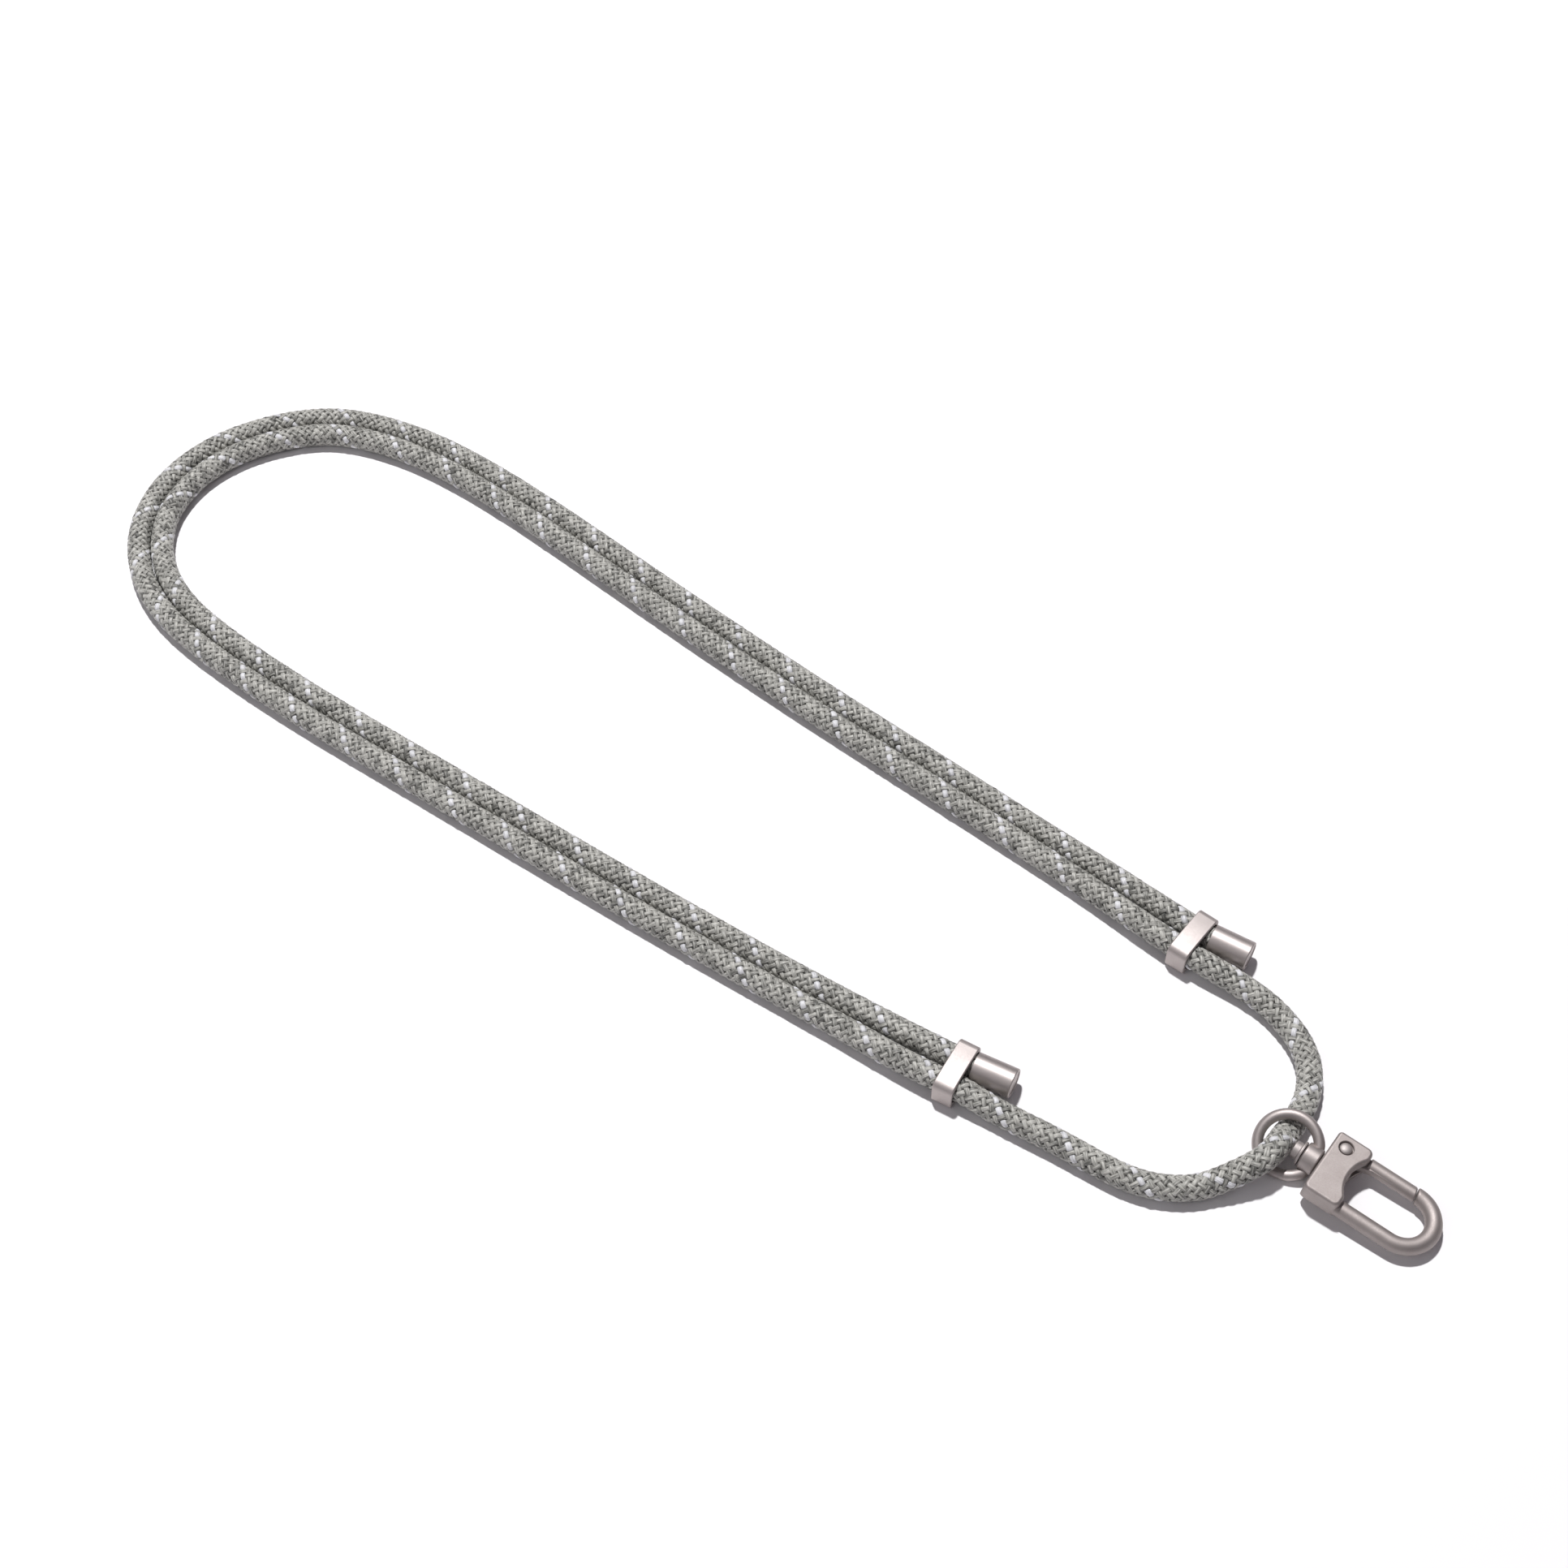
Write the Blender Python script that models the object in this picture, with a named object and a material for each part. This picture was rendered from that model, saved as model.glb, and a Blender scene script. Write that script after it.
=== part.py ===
"""Crossbody strap for a phone: one rope in a double loop, two sliders, two end caps and a swivel clasp."""

import math

import bmesh
import bpy
import numpy as np
from mathutils import Matrix, Vector

# Sizes in metres. The strap lies on z = 0 with its length along X and the clasp at +X.
ROPE_DIAMETER = 0.0080
ROPE_SIDES_LEVEL = 2
ROPE_STEP = 0.030
ROPE_TURN_STEP = 0.22
FIT = 0.0003
ROUTE_GAP = 0.00075
STRAND_GAP = 0.0004
STRAND_LEAD = 0.0035
STRAND_EASE = 0.045
HAIR = 0.00005

SLIDER_LENGTH = 0.0069
SLIDER_WALL = 0.0010
SLIDER_CORNER = 0.0021
SLIDER_EDGE = 0.00045
SLIDER_ENGRAVING = 0.00025
SLIDER_LEAD = 0.0020

CAP_LENGTH = 0.0134
CAP_WALL = 0.0006
CAP_FLOOR = 0.0011
CAP_EDGE = 0.0004
CAP_FACE_RIM = 0.0007
CAP_FACE_DEPTH = 0.0003

RING_BORE = 0.0150
RING_WIRE = 0.0034
RING_FLAT = 0.0007
RING_BOSS_DIAMETER = 0.0090
RING_BOSS_LENGTH = 0.0050
RING_BOSS_EDGE = 0.0004
ROPE_SIDE_GAP = 0.0010

PIN_DIAMETER = 0.0034
PIN_HEAD_DIAMETER = 0.0056
PIN_FLANGE_DIAMETER = 0.0078
PIN_FLANGE_THICKNESS = 0.0008
PIN_DEPTH = 0.0032
PIN_HEAD_EDGE = 0.0005
PIN_FLANGE_EDGE = 0.0002

BODY_LENGTH = 0.0118
BODY_WIDTH = 0.0226
BODY_THICKNESS = 0.0104
BODY_CORNER = 0.0016
BODY_EDGE = 0.0008
MOUTH_RADIUS = 0.0120
MOUTH_DEPTH = 0.0026

HOOK_BAR = 0.0052
HOOK_BEND_RADIUS = 0.0090
HOOK_REACH = 0.0169
NOSE_SLANT = 12.0
NOSE_SETBACK = 0.0006
NOSE_ROOM = 0.0040

GATE_BAR = 0.0046
GATE_TONGUE = 0.0030
GATE_EYE = 0.0052
GATE_TONGUE_WIDTH = 0.0034
GATE_SWING_ROOM = 0.0018
PIVOT_SETBACK = 0.0075
PIVOT_OFFSET = 0.0069
RIVET_HEAD = 0.0040
RIVET_SHANK = 0.0022
RIVET_RECESS = 0.0012
RIVET_CROWN = 0.0009
RIVET_RIM = 0.0003
RIVET_FOOT = 0.0004

# Where the hardware lies, seen from above: centre x, centre y, heading and its cap's turn in degrees.
UPPER_SLIDER = (-0.0374, 0.0423, -2.0, 8.0)
LOWER_SLIDER = (-0.0703, -0.0430, 7.0, 3.0)
RING_CENTRE = (0.0240, -0.0038)

# Points of the line midway between the two strands, from the upper slider round to the lower one.
MIDDLE = (
    (-0.0640, 0.0441),
    (-0.0975, 0.0460),
    (-0.1435, 0.0480),
    (-0.2009, 0.0506),
    (-0.2585, 0.0544),
    (-0.3135, 0.0588),
    (-0.3593, 0.0607),
    (-0.3820, 0.0593),
    (-0.4012, 0.0553),
    (-0.4194, 0.0470),
    (-0.4338, 0.0318),
    (-0.4431, 0.0112),
    (-0.4441, -0.0087),
    (-0.4382, -0.0262),
    (-0.4295, -0.0376),
    (-0.4183, -0.0460),
    (-0.4033, -0.0524),
    (-0.3822, -0.0560),
    (-0.3616, -0.0571),
    (-0.3285, -0.0571),
    (-0.2937, -0.0558),
    (-0.2385, -0.0535),
    (-0.1885, -0.0513),
    (-0.1385, -0.0484),
    (-0.0980, -0.0455),
)

# Points of the single strand from the lower slider to the ring, its rise onto the ring (back, before it and
# share of the height), and its points from the ring to the upper slider.
TO_RING = (
    (-0.0545, -0.0461),
    (-0.0385, -0.0444),
    (-0.0223, -0.0429),
    (-0.0080, -0.0411),
    (0.0027, -0.0366),
    (0.0105, -0.0298),
)
RING_APPROACH = (
    (0.0062, 0.0115, 0.42),
    (0.0018, 0.0048, 0.86),
)
FROM_RING = (
    (0.0208, 0.0124),
    (0.0185, 0.0196),
    (0.0134, 0.0272),
    (0.0039, 0.0336),
    (-0.0084, 0.0373),
)

ROPE_R = ROPE_DIAMETER / 2
WIRE_R = RING_WIRE / 2
RING_R = RING_BORE / 2 + WIRE_R
CAP_R = ROPE_R + FIT + CAP_WALL
STRAND_SPACING = ROPE_DIAMETER + STRAND_GAP
SLIDER_SPACING = CAP_R + ROPE_R + FIT + 2 * HAIR
SLIDER_Z = SLIDER_WALL + FIT + ROPE_R

# The rope goes over the ring's low side and under its high side, which sets how far the ring tilts.
CROSSING_SLOPE = 0.97
ROPE_IN_RING = -(RING_BORE / 2 - ROPE_SIDE_GAP - ROPE_R)
CROSSING = math.sqrt(RING_R ** 2 - ROPE_IN_RING ** 2)
CROSSING_HEIGHT = (ROPE_R + WIRE_R + ROUTE_GAP) / CROSSING_SLOPE
RING_TILT = math.asin((ROPE_R + CROSSING_HEIGHT - WIRE_R + HAIR) / (RING_R + CROSSING))
AXIS_Z = RING_R * math.sin(RING_TILT) + WIRE_R + HAIR

FLAT_X = RING_R - RING_FLAT
BOSS_END = FLAT_X + WIRE_R + 2 * HAIR
BOSS_START = BOSS_END - RING_BOSS_LENGTH
BODY_START = BOSS_END + FIT
BODY_END = BODY_START + BODY_LENGTH
BEND_X = BODY_END + HOOK_REACH
PIVOT_X = BODY_END - PIVOT_SETBACK

# The clasp leans down from the ring until the front edge of its body lies a hair above the table.
CLASP_LEAN = math.asin((AXIS_Z - BODY_THICKNESS / 2 - HAIR) / BODY_END)


def clear_scene():
    """Remove every object of the start scene."""
    for obj in list(bpy.data.objects):
        bpy.data.objects.remove(obj, do_unlink=True)


def material(name, colour, metallic, roughness):
    """Make a Principled material."""
    made = bpy.data.materials.new(name)
    made.use_nodes = True
    shader = made.node_tree.nodes["Principled BSDF"]
    shader.inputs["Base Color"].default_value = (*colour, 1.0)
    shader.inputs["Metallic"].default_value = metallic
    shader.inputs["Roughness"].default_value = roughness
    return made


def finish_mesh(name, bm):
    """Turn a bmesh into a linked object with outward normals."""
    bmesh.ops.remove_doubles(bm, verts=bm.verts, dist=1e-7)
    bmesh.ops.recalc_face_normals(bm, faces=bm.faces)
    mesh = bpy.data.meshes.new(name)
    bm.to_mesh(mesh)
    bm.free()
    obj = bpy.data.objects.new(name, mesh)
    bpy.context.collection.objects.link(obj)
    return obj


def bevel_edges(bm, edges, width, segments):
    """Round the given edges of a bmesh."""
    bmesh.ops.bevel(
        bm,
        geom=list(edges),
        offset=width,
        segments=segments,
        profile=0.5,
        affect="EDGES",
        clamp_overlap=True,
    )


def along(edge, axis):
    """Tell whether an edge runs along one of the three axes."""
    run = edge.verts[1].co - edge.verts[0].co
    return abs(run[axis]) > 0.999 * run.length


def block(name, size, centre, axis, corner, edge, segments):
    """Make a box whose edges along one axis get a large radius and all the others a small one."""
    bm = bmesh.new()
    bmesh.ops.create_cube(bm, size=1.0)
    bmesh.ops.scale(bm, vec=Vector(size), verts=bm.verts)
    if corner > 0:
        bevel_edges(bm, [e for e in bm.edges if along(e, axis)], corner, segments)
    if edge > 0:
        half = size[axis] / 2
        rims = [e for e in bm.edges if all(abs(abs(v.co[axis]) - half) < 1e-7 for v in e.verts)]
        bevel_edges(bm, rims, edge, 2)
    bmesh.ops.translate(bm, vec=Vector(centre), verts=bm.verts)
    return finish_mesh(name, bm)


def turned(name, profile, segments):
    """Make a solid of revolution about X from (x, radius) pairs that begin and end on the axis."""
    bm = bmesh.new()
    verts = [bm.verts.new((x, r, 0.0)) for x, r in profile]
    edges = [bm.edges.new(pair) for pair in zip(verts[:-1], verts[1:])]
    bmesh.ops.spin(
        bm,
        geom=verts + edges,
        cent=(0.0, 0.0, 0.0),
        axis=(1.0, 0.0, 0.0),
        angle=2 * math.pi,
        steps=segments,
        use_merge=True,
    )
    return finish_mesh(name, bm)


def cylinder(name, radius, start, end, segments=32):
    """Make a round bar between two points."""
    a = Vector(start)
    b = Vector(end)
    bm = bmesh.new()
    bmesh.ops.create_cone(
        bm,
        cap_ends=True,
        segments=segments,
        radius1=radius,
        radius2=radius,
        depth=(b - a).length,
    )
    turn = Vector((0.0, 0.0, 1.0)).rotation_difference((b - a).normalized()).to_matrix().to_4x4()
    bmesh.ops.transform(bm, matrix=Matrix.Translation((a + b) / 2) @ turn, verts=bm.verts)
    return finish_mesh(name, bm)


def place(obj, matrix):
    """Move an object's mesh by a matrix."""
    obj.data.transform(matrix)
    obj.data.update()
    return obj


def combine(target, tool, operation):
    """Join or cut with an exact Boolean, then remove the tool."""
    change = target.modifiers.new("combine", "BOOLEAN")
    change.operation = operation
    change.solver = "EXACT"
    change.object = tool
    bpy.context.view_layer.update()
    graph = bpy.context.evaluated_depsgraph_get()
    mesh = bpy.data.meshes.new_from_object(target.evaluated_get(graph))
    target.modifiers.clear()
    target.data = mesh
    bpy.data.objects.remove(tool, do_unlink=True)
    return target


def with_origin(obj, point):
    """Put an object's origin at a point and leave its shape where it is."""
    obj.data.transform(Matrix.Translation(-Vector(point)))
    obj.location = Vector(point)
    return obj


def spline(points):
    """Fit a natural cubic spline through points and return a function of length along the chords."""
    p = np.array(points, dtype=float)
    steps = np.linalg.norm(np.diff(p, axis=0), axis=1)
    at = np.concatenate([[0.0], np.cumsum(steps)])
    count = len(p)
    system = np.zeros((count, count))
    right = np.zeros_like(p)
    system[0, 0] = 1.0
    system[-1, -1] = 1.0
    for i in range(1, count - 1):
        system[i, i - 1] = steps[i - 1]
        system[i, i] = 2 * (steps[i - 1] + steps[i])
        system[i, i + 1] = steps[i]
        right[i] = 6 * ((p[i + 1] - p[i]) / steps[i] - (p[i] - p[i - 1]) / steps[i - 1])
    bend = np.linalg.solve(system, right)

    def read(u):
        i = int(np.clip(np.searchsorted(at, u) - 1, 0, count - 2))
        h = steps[i]
        a = (at[i + 1] - u) / h
        b = (u - at[i]) / h
        curve = ((a ** 3 - a) * bend[i] + (b ** 3 - b) * bend[i + 1]) * h * h / 6
        return a * p[i] + b * p[i + 1] + curve

    return read, at[-1]


def spaced(read, length, step, turn):
    """Choose points along a spline so that neither their distance nor the turn between them is large."""
    fine = np.array([read(u) for u in np.linspace(0.0, length, int(length / 0.0005) + 2)])
    runs = np.diff(fine, axis=0)
    lengths = np.linalg.norm(runs, axis=1)
    ways = runs / lengths[:, None]
    turns = np.arccos(np.clip((ways[1:] * ways[:-1]).sum(axis=1), -1.0, 1.0))
    load = lengths / step
    load[1:] += turns / turn
    total = np.concatenate([[0.0], np.cumsum(load)])
    count = max(2, int(math.ceil(total[-1])) + 1)
    marks = np.linspace(0.0, total[-1], count)
    return np.stack([np.interp(marks, total, fine[:, k]) for k in range(fine.shape[1])], axis=1)


def slider_frame(slider):
    """Give a slider's centre, its heading and the direction across it."""
    centre = np.array(slider[:2])
    angle = math.radians(slider[2])
    ahead = np.array((math.cos(angle), math.sin(angle)))
    across = np.array((-math.sin(angle), math.cos(angle)))
    return centre, ahead, across


def cap_frame(slider):
    """Give where a cap's axis leaves its slider and the cap's own heading."""
    centre, ahead, across = slider_frame(slider)
    root = centre + ahead * (SLIDER_LENGTH / 2) + across * SLIDER_SPACING / 2
    return root, math.radians(slider[2] + slider[3])


def cap_start(slider):
    """Give how far past its slider a turned cap has to begin to stay clear of it."""
    return FIT + CAP_R * math.sin(math.radians(slider[3]))


def in_cap(slider, distance):
    """Give the point of the rope's line at a distance past a slider, inside its cap."""
    root, angle = cap_frame(slider)
    return (root[0] + distance * math.cos(angle), root[1] + distance * math.sin(angle), SLIDER_Z)


def in_slider(slider, distance, side):
    """Give the point of the rope's line at a distance along a slider, on its +1 or -1 side."""
    centre, ahead, across = slider_frame(slider)
    flat = centre + ahead * distance + across * side * SLIDER_SPACING / 2
    return (flat[0], flat[1], SLIDER_Z)


def strand(side):
    """Give the points of one strand beside the middle line, from the upper slider to the lower one."""
    upper, ahead, _ = slider_frame(UPPER_SLIDER)
    start = upper - ahead * (SLIDER_LENGTH / 2 + STRAND_LEAD)
    lower, ahead, _ = slider_frame(LOWER_SLIDER)
    end = lower - ahead * (SLIDER_LENGTH / 2 + STRAND_LEAD)
    route = [tuple(start)] + list(MIDDLE) + [tuple(end)]
    read, length = spline(route)
    line = spaced(read, length, ROPE_STEP, ROPE_TURN_STEP)
    ways = np.gradient(line, axis=0)
    ways /= np.linalg.norm(ways, axis=1)[:, None]
    aside = np.stack([ways[:, 1], -ways[:, 0]], axis=1)
    gone = np.concatenate([[0.0], np.cumsum(np.linalg.norm(np.diff(line, axis=0), axis=1))])
    points = []
    for flat, normal, run in zip(line, aside, gone):
        near = min(run, gone[-1] - run)
        rise = max(0.0, 1.0 - near / STRAND_EASE)
        rise = rise * rise * (3 - 2 * rise)
        spacing = STRAND_SPACING + (SLIDER_SPACING - STRAND_SPACING) * rise
        height = ROPE_R + (SLIDER_Z - ROPE_R) * rise
        spot = flat + normal * side * spacing / 2
        points.append((spot[0], spot[1], height))
    return points


def rope_points():
    """Give every point of the rope, from the end in the upper cap to the end in the lower cap."""
    reach = CAP_LENGTH - CAP_FLOOR - FIT
    start = [in_cap(UPPER_SLIDER, cap_start(UPPER_SLIDER) + reach)]
    start += [in_cap(UPPER_SLIDER, 0.0), in_slider(UPPER_SLIDER, 0.0, 1)]
    outer = strand(1)
    x, y = RING_CENTRE
    low_y = y - CROSSING * math.cos(RING_TILT)
    drop = CROSSING * math.sin(RING_TILT) * math.cos(CLASP_LEAN)
    low_z = AXIS_Z - drop - ROPE_IN_RING * math.sin(CLASP_LEAN) + CROSSING_HEIGHT
    high_y = y + CROSSING * math.cos(RING_TILT)
    rope_x = x + ROPE_IN_RING
    loop = [outer[-1], in_slider(LOWER_SLIDER, 0.0, -1)]
    loop.append(in_slider(LOWER_SLIDER, SLIDER_LENGTH / 2 + SLIDER_LEAD, -1))
    loop += [(p[0], p[1], ROPE_R) for p in TO_RING]
    for back, before, rise in RING_APPROACH:
        loop.append((rope_x - back, low_y - before, ROPE_R + (low_z - ROPE_R) * rise))
    loop += [
        (rope_x, low_y, low_z),
        (rope_x, (low_y + high_y) / 2, (low_z + ROPE_R) / 2),
        (rope_x, high_y, ROPE_R),
    ]
    loop += [(p[0], p[1], ROPE_R) for p in FROM_RING]
    inner = strand(-1)
    loop.append(in_slider(UPPER_SLIDER, SLIDER_LENGTH / 2 + SLIDER_LEAD + 0.0010, -1))
    loop += [in_slider(UPPER_SLIDER, 0.0, -1), inner[0]]
    read, length = spline(loop)
    single = spaced(read, length, ROPE_STEP, ROPE_TURN_STEP)
    single[:, 2] = np.maximum(single[:, 2], ROPE_R)
    end = [in_slider(LOWER_SLIDER, 0.0, 1), in_cap(LOWER_SLIDER, 0.0)]
    end += [in_cap(LOWER_SLIDER, cap_start(LOWER_SLIDER) + reach)]
    points = start + outer + [tuple(p) for p in single[1:-1]] + inner + end
    return points


def make_rope(finish):
    """Make the rope as one tube."""
    curve = bpy.data.curves.new("rope", "CURVE")
    curve.dimensions = "3D"
    curve.bevel_depth = ROPE_R
    curve.bevel_resolution = int(ROPE_SIDES_LEVEL)
    curve.use_fill_caps = True
    points = rope_points()
    line = curve.splines.new("POLY")
    line.points.add(len(points) - 1)
    for spot, p in zip(line.points, points):
        spot.co = (p[0], p[1], p[2], 1.0)
    obj = bpy.data.objects.new("rope", curve)
    bpy.context.collection.objects.link(obj)
    obj.data.materials.append(finish)
    return obj


def make_slider(name, slider, finish):
    """Make one slider: a flat band round both strands, rounded outside and in."""
    inner_y = SLIDER_SPACING + ROPE_DIAMETER + 2 * FIT
    inner_z = ROPE_DIAMETER + 2 * FIT
    size = (SLIDER_LENGTH, inner_y + 2 * SLIDER_WALL, inner_z + 2 * SLIDER_WALL)
    band = block(name, size, (0.0, 0.0, 0.0), 0, SLIDER_CORNER, SLIDER_EDGE, 5)
    hole_size = (SLIDER_LENGTH * 2, inner_y, inner_z)
    hole = block("hole", hole_size, (0.0, 0.0, 0.0), 0, ROPE_R * 0.8, 0.0, 6)
    band = combine(band, hole, "DIFFERENCE")
    panel_size = (SLIDER_LENGTH * 0.52, size[1] * 0.66, SLIDER_ENGRAVING * 2)
    panel = block("panel", panel_size, (0.0, 0.0, size[2] / 2), 2, SLIDER_LENGTH * 0.15, 0.0, 3)
    band = combine(band, panel, "DIFFERENCE")
    turn = Matrix.Rotation(math.radians(slider[2]), 4, "Z")
    place(band, Matrix.Translation((slider[0], slider[1], SLIDER_Z)) @ turn)
    band.data.materials.append(finish)
    return band


def make_cap(name, slider, finish):
    """Make one end cap: a cup over the rope's end, with a rimmed flat end face."""
    start = cap_start(slider)
    end = start + CAP_LENGTH
    bore = ROPE_R + FIT
    rim = CAP_R - CAP_FACE_RIM
    profile = (
        (end - CAP_FLOOR, 0.0),
        (end - CAP_FLOOR, bore),
        (start, bore),
        (start, CAP_R - CAP_EDGE / 2),
        (start + CAP_EDGE / 2, CAP_R),
        (end - CAP_EDGE, CAP_R),
        (end - CAP_EDGE * 0.3, CAP_R - CAP_EDGE * 0.3),
        (end, CAP_R - CAP_EDGE),
        (end, rim - CAP_EDGE * 0.2),
        (end - CAP_FACE_DEPTH, rim - CAP_EDGE * 0.2 - CAP_FACE_DEPTH * 0.4),
        (end - CAP_FACE_DEPTH, 0.0),
    )
    cap = turned(name, profile, 40)
    root, angle = cap_frame(slider)
    place(cap, Matrix.Translation((root[0], root[1], SLIDER_Z)) @ Matrix.Rotation(angle, 4, "Z"))
    cap.data.materials.append(finish)
    return cap


def clasp_place():
    """Give the matrix that puts clasp pieces, drawn from the ring's centre along X, where they lie."""
    lean = Matrix.Rotation(CLASP_LEAN, 4, "Y")
    return Matrix.Translation((RING_CENTRE[0], RING_CENTRE[1], AXIS_Z)) @ lean


def on_clasp(x, y):
    """Give where a point of the clasp's middle plane lies, from its place before the lean."""
    return tuple(clasp_place() @ Vector((x, y, 0.0)))


def bar_along(name, points, radius, segments, closed=False):
    """Sweep a round bar along points that lie in the clasp's flat plane, open or as a closed loop."""
    p = np.array(points)
    ways = np.gradient(p, axis=0)
    if closed:
        ways = np.roll(p, -1, axis=0) - np.roll(p, 1, axis=0)
    ways /= np.linalg.norm(ways, axis=1)[:, None]
    bm = bmesh.new()
    rings = []
    for spot, way in zip(p, ways):
        ring = []
        for k in range(segments):
            angle = 2 * math.pi * k / segments
            side = math.cos(angle) * radius
            up = math.sin(angle) * radius
            ring.append(bm.verts.new((spot[0] - way[1] * side, spot[1] + way[0] * side, up)))
        rings.append(ring)
    pairs = list(zip(rings[:-1], rings[1:]))
    if closed:
        pairs.append((rings[-1], rings[0]))
    for first, second in pairs:
        for k in range(segments):
            j = (k + 1) % segments
            bm.faces.new((first[k], first[j], second[j], second[k]))
    if not closed:
        bm.faces.new(rings[0])
        bm.faces.new(rings[-1])
    return finish_mesh(name, bm)


def make_ring(finish):
    """Make the swivel ring: a tilted wire ring with a round boss that the pin goes through."""
    path = []
    for k in range(60):
        angle = 2 * math.pi * (k + 0.5) / 60
        x = RING_R * math.cos(angle)
        over = max(0.0, x - FLAT_X + RING_FLAT)
        x -= over * over / (4 * RING_FLAT)
        path.append((x, RING_R * math.sin(angle)))
    ring = bar_along("swivel_ring", path, WIRE_R, 16, True)
    place(ring, Matrix.Rotation(RING_TILT, 4, "X"))
    half = RING_BOSS_DIAMETER / 2
    profile = (
        (BOSS_START, 0.0),
        (BOSS_START, half - RING_BOSS_EDGE),
        (BOSS_START + RING_BOSS_EDGE, half),
        (BOSS_END - RING_BOSS_EDGE, half),
        (BOSS_END, half - RING_BOSS_EDGE),
        (BOSS_END, 0.0),
    )
    boss = turned("boss", profile, 36)
    ring = combine(ring, boss, "UNION")
    bore_r = PIN_DIAMETER / 2 + FIT
    bore = cylinder("bore", bore_r, (BOSS_START - 0.002, 0, 0), (BOSS_END + 0.002, 0, 0), 24)
    ring = combine(ring, bore, "DIFFERENCE")
    place(ring, clasp_place())
    ring.data.materials.append(finish)
    return ring


def make_pin(finish):
    """Make the swivel pin: head and flange inside the ring, shank through the boss into the body."""
    flange_end = BOSS_START - FIT
    flange_start = flange_end - PIN_FLANGE_THICKNESS
    head_start = ROPE_IN_RING + ROPE_R + FIT + HAIR
    head_r = PIN_HEAD_DIAMETER / 2
    flange_r = PIN_FLANGE_DIAMETER / 2
    shank_r = PIN_DIAMETER / 2
    shank_end = BODY_START + PIN_DEPTH
    profile = (
        (head_start, 0.0),
        (head_start, head_r - PIN_HEAD_EDGE),
        (head_start + PIN_HEAD_EDGE, head_r),
        (flange_start, head_r),
        (flange_start, flange_r - PIN_FLANGE_EDGE),
        (flange_start + PIN_FLANGE_EDGE, flange_r),
        (flange_end - PIN_FLANGE_EDGE, flange_r),
        (flange_end, flange_r - PIN_FLANGE_EDGE),
        (flange_end, shank_r),
        (shank_end, shank_r),
        (shank_end, 0.0),
    )
    pin = turned("swivel_pin", profile, 32)
    place(pin, clasp_place())
    pin.data.materials.append(finish)
    return with_origin(pin, on_clasp(BODY_START, 0.0))


def nose_cutter(name, side, extra):
    """Make a large block on one side of the slanted plane between the gate's end and the nose."""
    reach = 0.02
    cutter = block(name, (reach, reach, reach), (side * reach / 2, 0.0, 0.0), 2, 0.0, 0.0, 1)
    turn = Matrix.Rotation(math.radians(NOSE_SLANT), 4, "Z")
    shift = Matrix.Translation((side * extra, 0.0, 0.0))
    centre = Matrix.Translation((BEND_X - NOSE_SETBACK, HOOK_BEND_RADIUS, 0.0))
    place(cutter, centre @ turn @ shift)
    return cutter


def make_hook_body(finish):
    """Make the clasp body and its hook as one casting."""
    centre = (BODY_START + BODY_LENGTH / 2, 0.0, 0.0)
    size = (BODY_LENGTH, BODY_WIDTH, BODY_THICKNESS)
    body = block("hook_body", size, centre, 2, BODY_CORNER, BODY_EDGE, 4)
    low = -HOOK_BEND_RADIUS
    points = [(BODY_END - 0.004, low), (BODY_END + 0.004, low), (BEND_X, low)]
    for k in range(1, 20):
        angle = -math.pi / 2 + math.pi * k / 20
        points.append((BEND_X + HOOK_BEND_RADIUS * math.cos(angle), HOOK_BEND_RADIUS * math.sin(angle)))
    points.append((BEND_X, HOOK_BEND_RADIUS))
    points.append((BEND_X - NOSE_ROOM, HOOK_BEND_RADIUS))
    bar = bar_along("bar", points, HOOK_BAR / 2, 24)
    bar = combine(bar, nose_cutter("nose_cut", -1, -FIT / 2), "DIFFERENCE")
    mouth_x = BODY_END - MOUTH_DEPTH + MOUTH_RADIUS
    reach = BODY_THICKNESS
    mouth = cylinder("mouth", MOUTH_RADIUS, (mouth_x, 0, -reach), (mouth_x, 0, reach), 72)
    body = combine(body, mouth, "DIFFERENCE")
    body = combine(body, bar, "UNION")
    slot_z = GATE_TONGUE + 2 * FIT
    slot_inner = PIVOT_OFFSET - GATE_EYE / 2 - FIT - GATE_SWING_ROOM
    slot_back = PIVOT_X - GATE_EYE / 2 - 2 * FIT
    slot_size = (0.02, 0.02, slot_z)
    slot_centre = (slot_back + 0.01, slot_inner + 0.01, 0.0)
    slot = block("slot", slot_size, slot_centre, 2, GATE_EYE * 0.35, 0.0, 4)
    body = combine(body, slot, "DIFFERENCE")
    pin_r = PIN_DIAMETER / 2 + FIT
    bore_end = BODY_START + PIN_DEPTH + FIT
    bore = cylinder("bore", pin_r, (BODY_START - 0.002, 0, 0), (bore_end, 0, 0), 24)
    body = combine(body, bore, "DIFFERENCE")
    top = BODY_THICKNESS / 2
    recess_r = RIVET_HEAD / 2 + FIT
    spot = (PIVOT_X, PIVOT_OFFSET)
    recess = cylinder("recess", recess_r, (*spot, top - RIVET_RECESS), (*spot, top + 0.001), 32)
    body = combine(body, recess, "DIFFERENCE")
    hole_r = RIVET_SHANK / 2 + FIT
    hole = cylinder("hole", hole_r, (*spot, -top - 0.001), (*spot, top), 24)
    body = combine(body, hole, "DIFFERENCE")
    place(body, clasp_place())
    body.data.materials.append(finish)
    return with_origin(body, on_clasp(BODY_START, 0.0))


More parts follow.
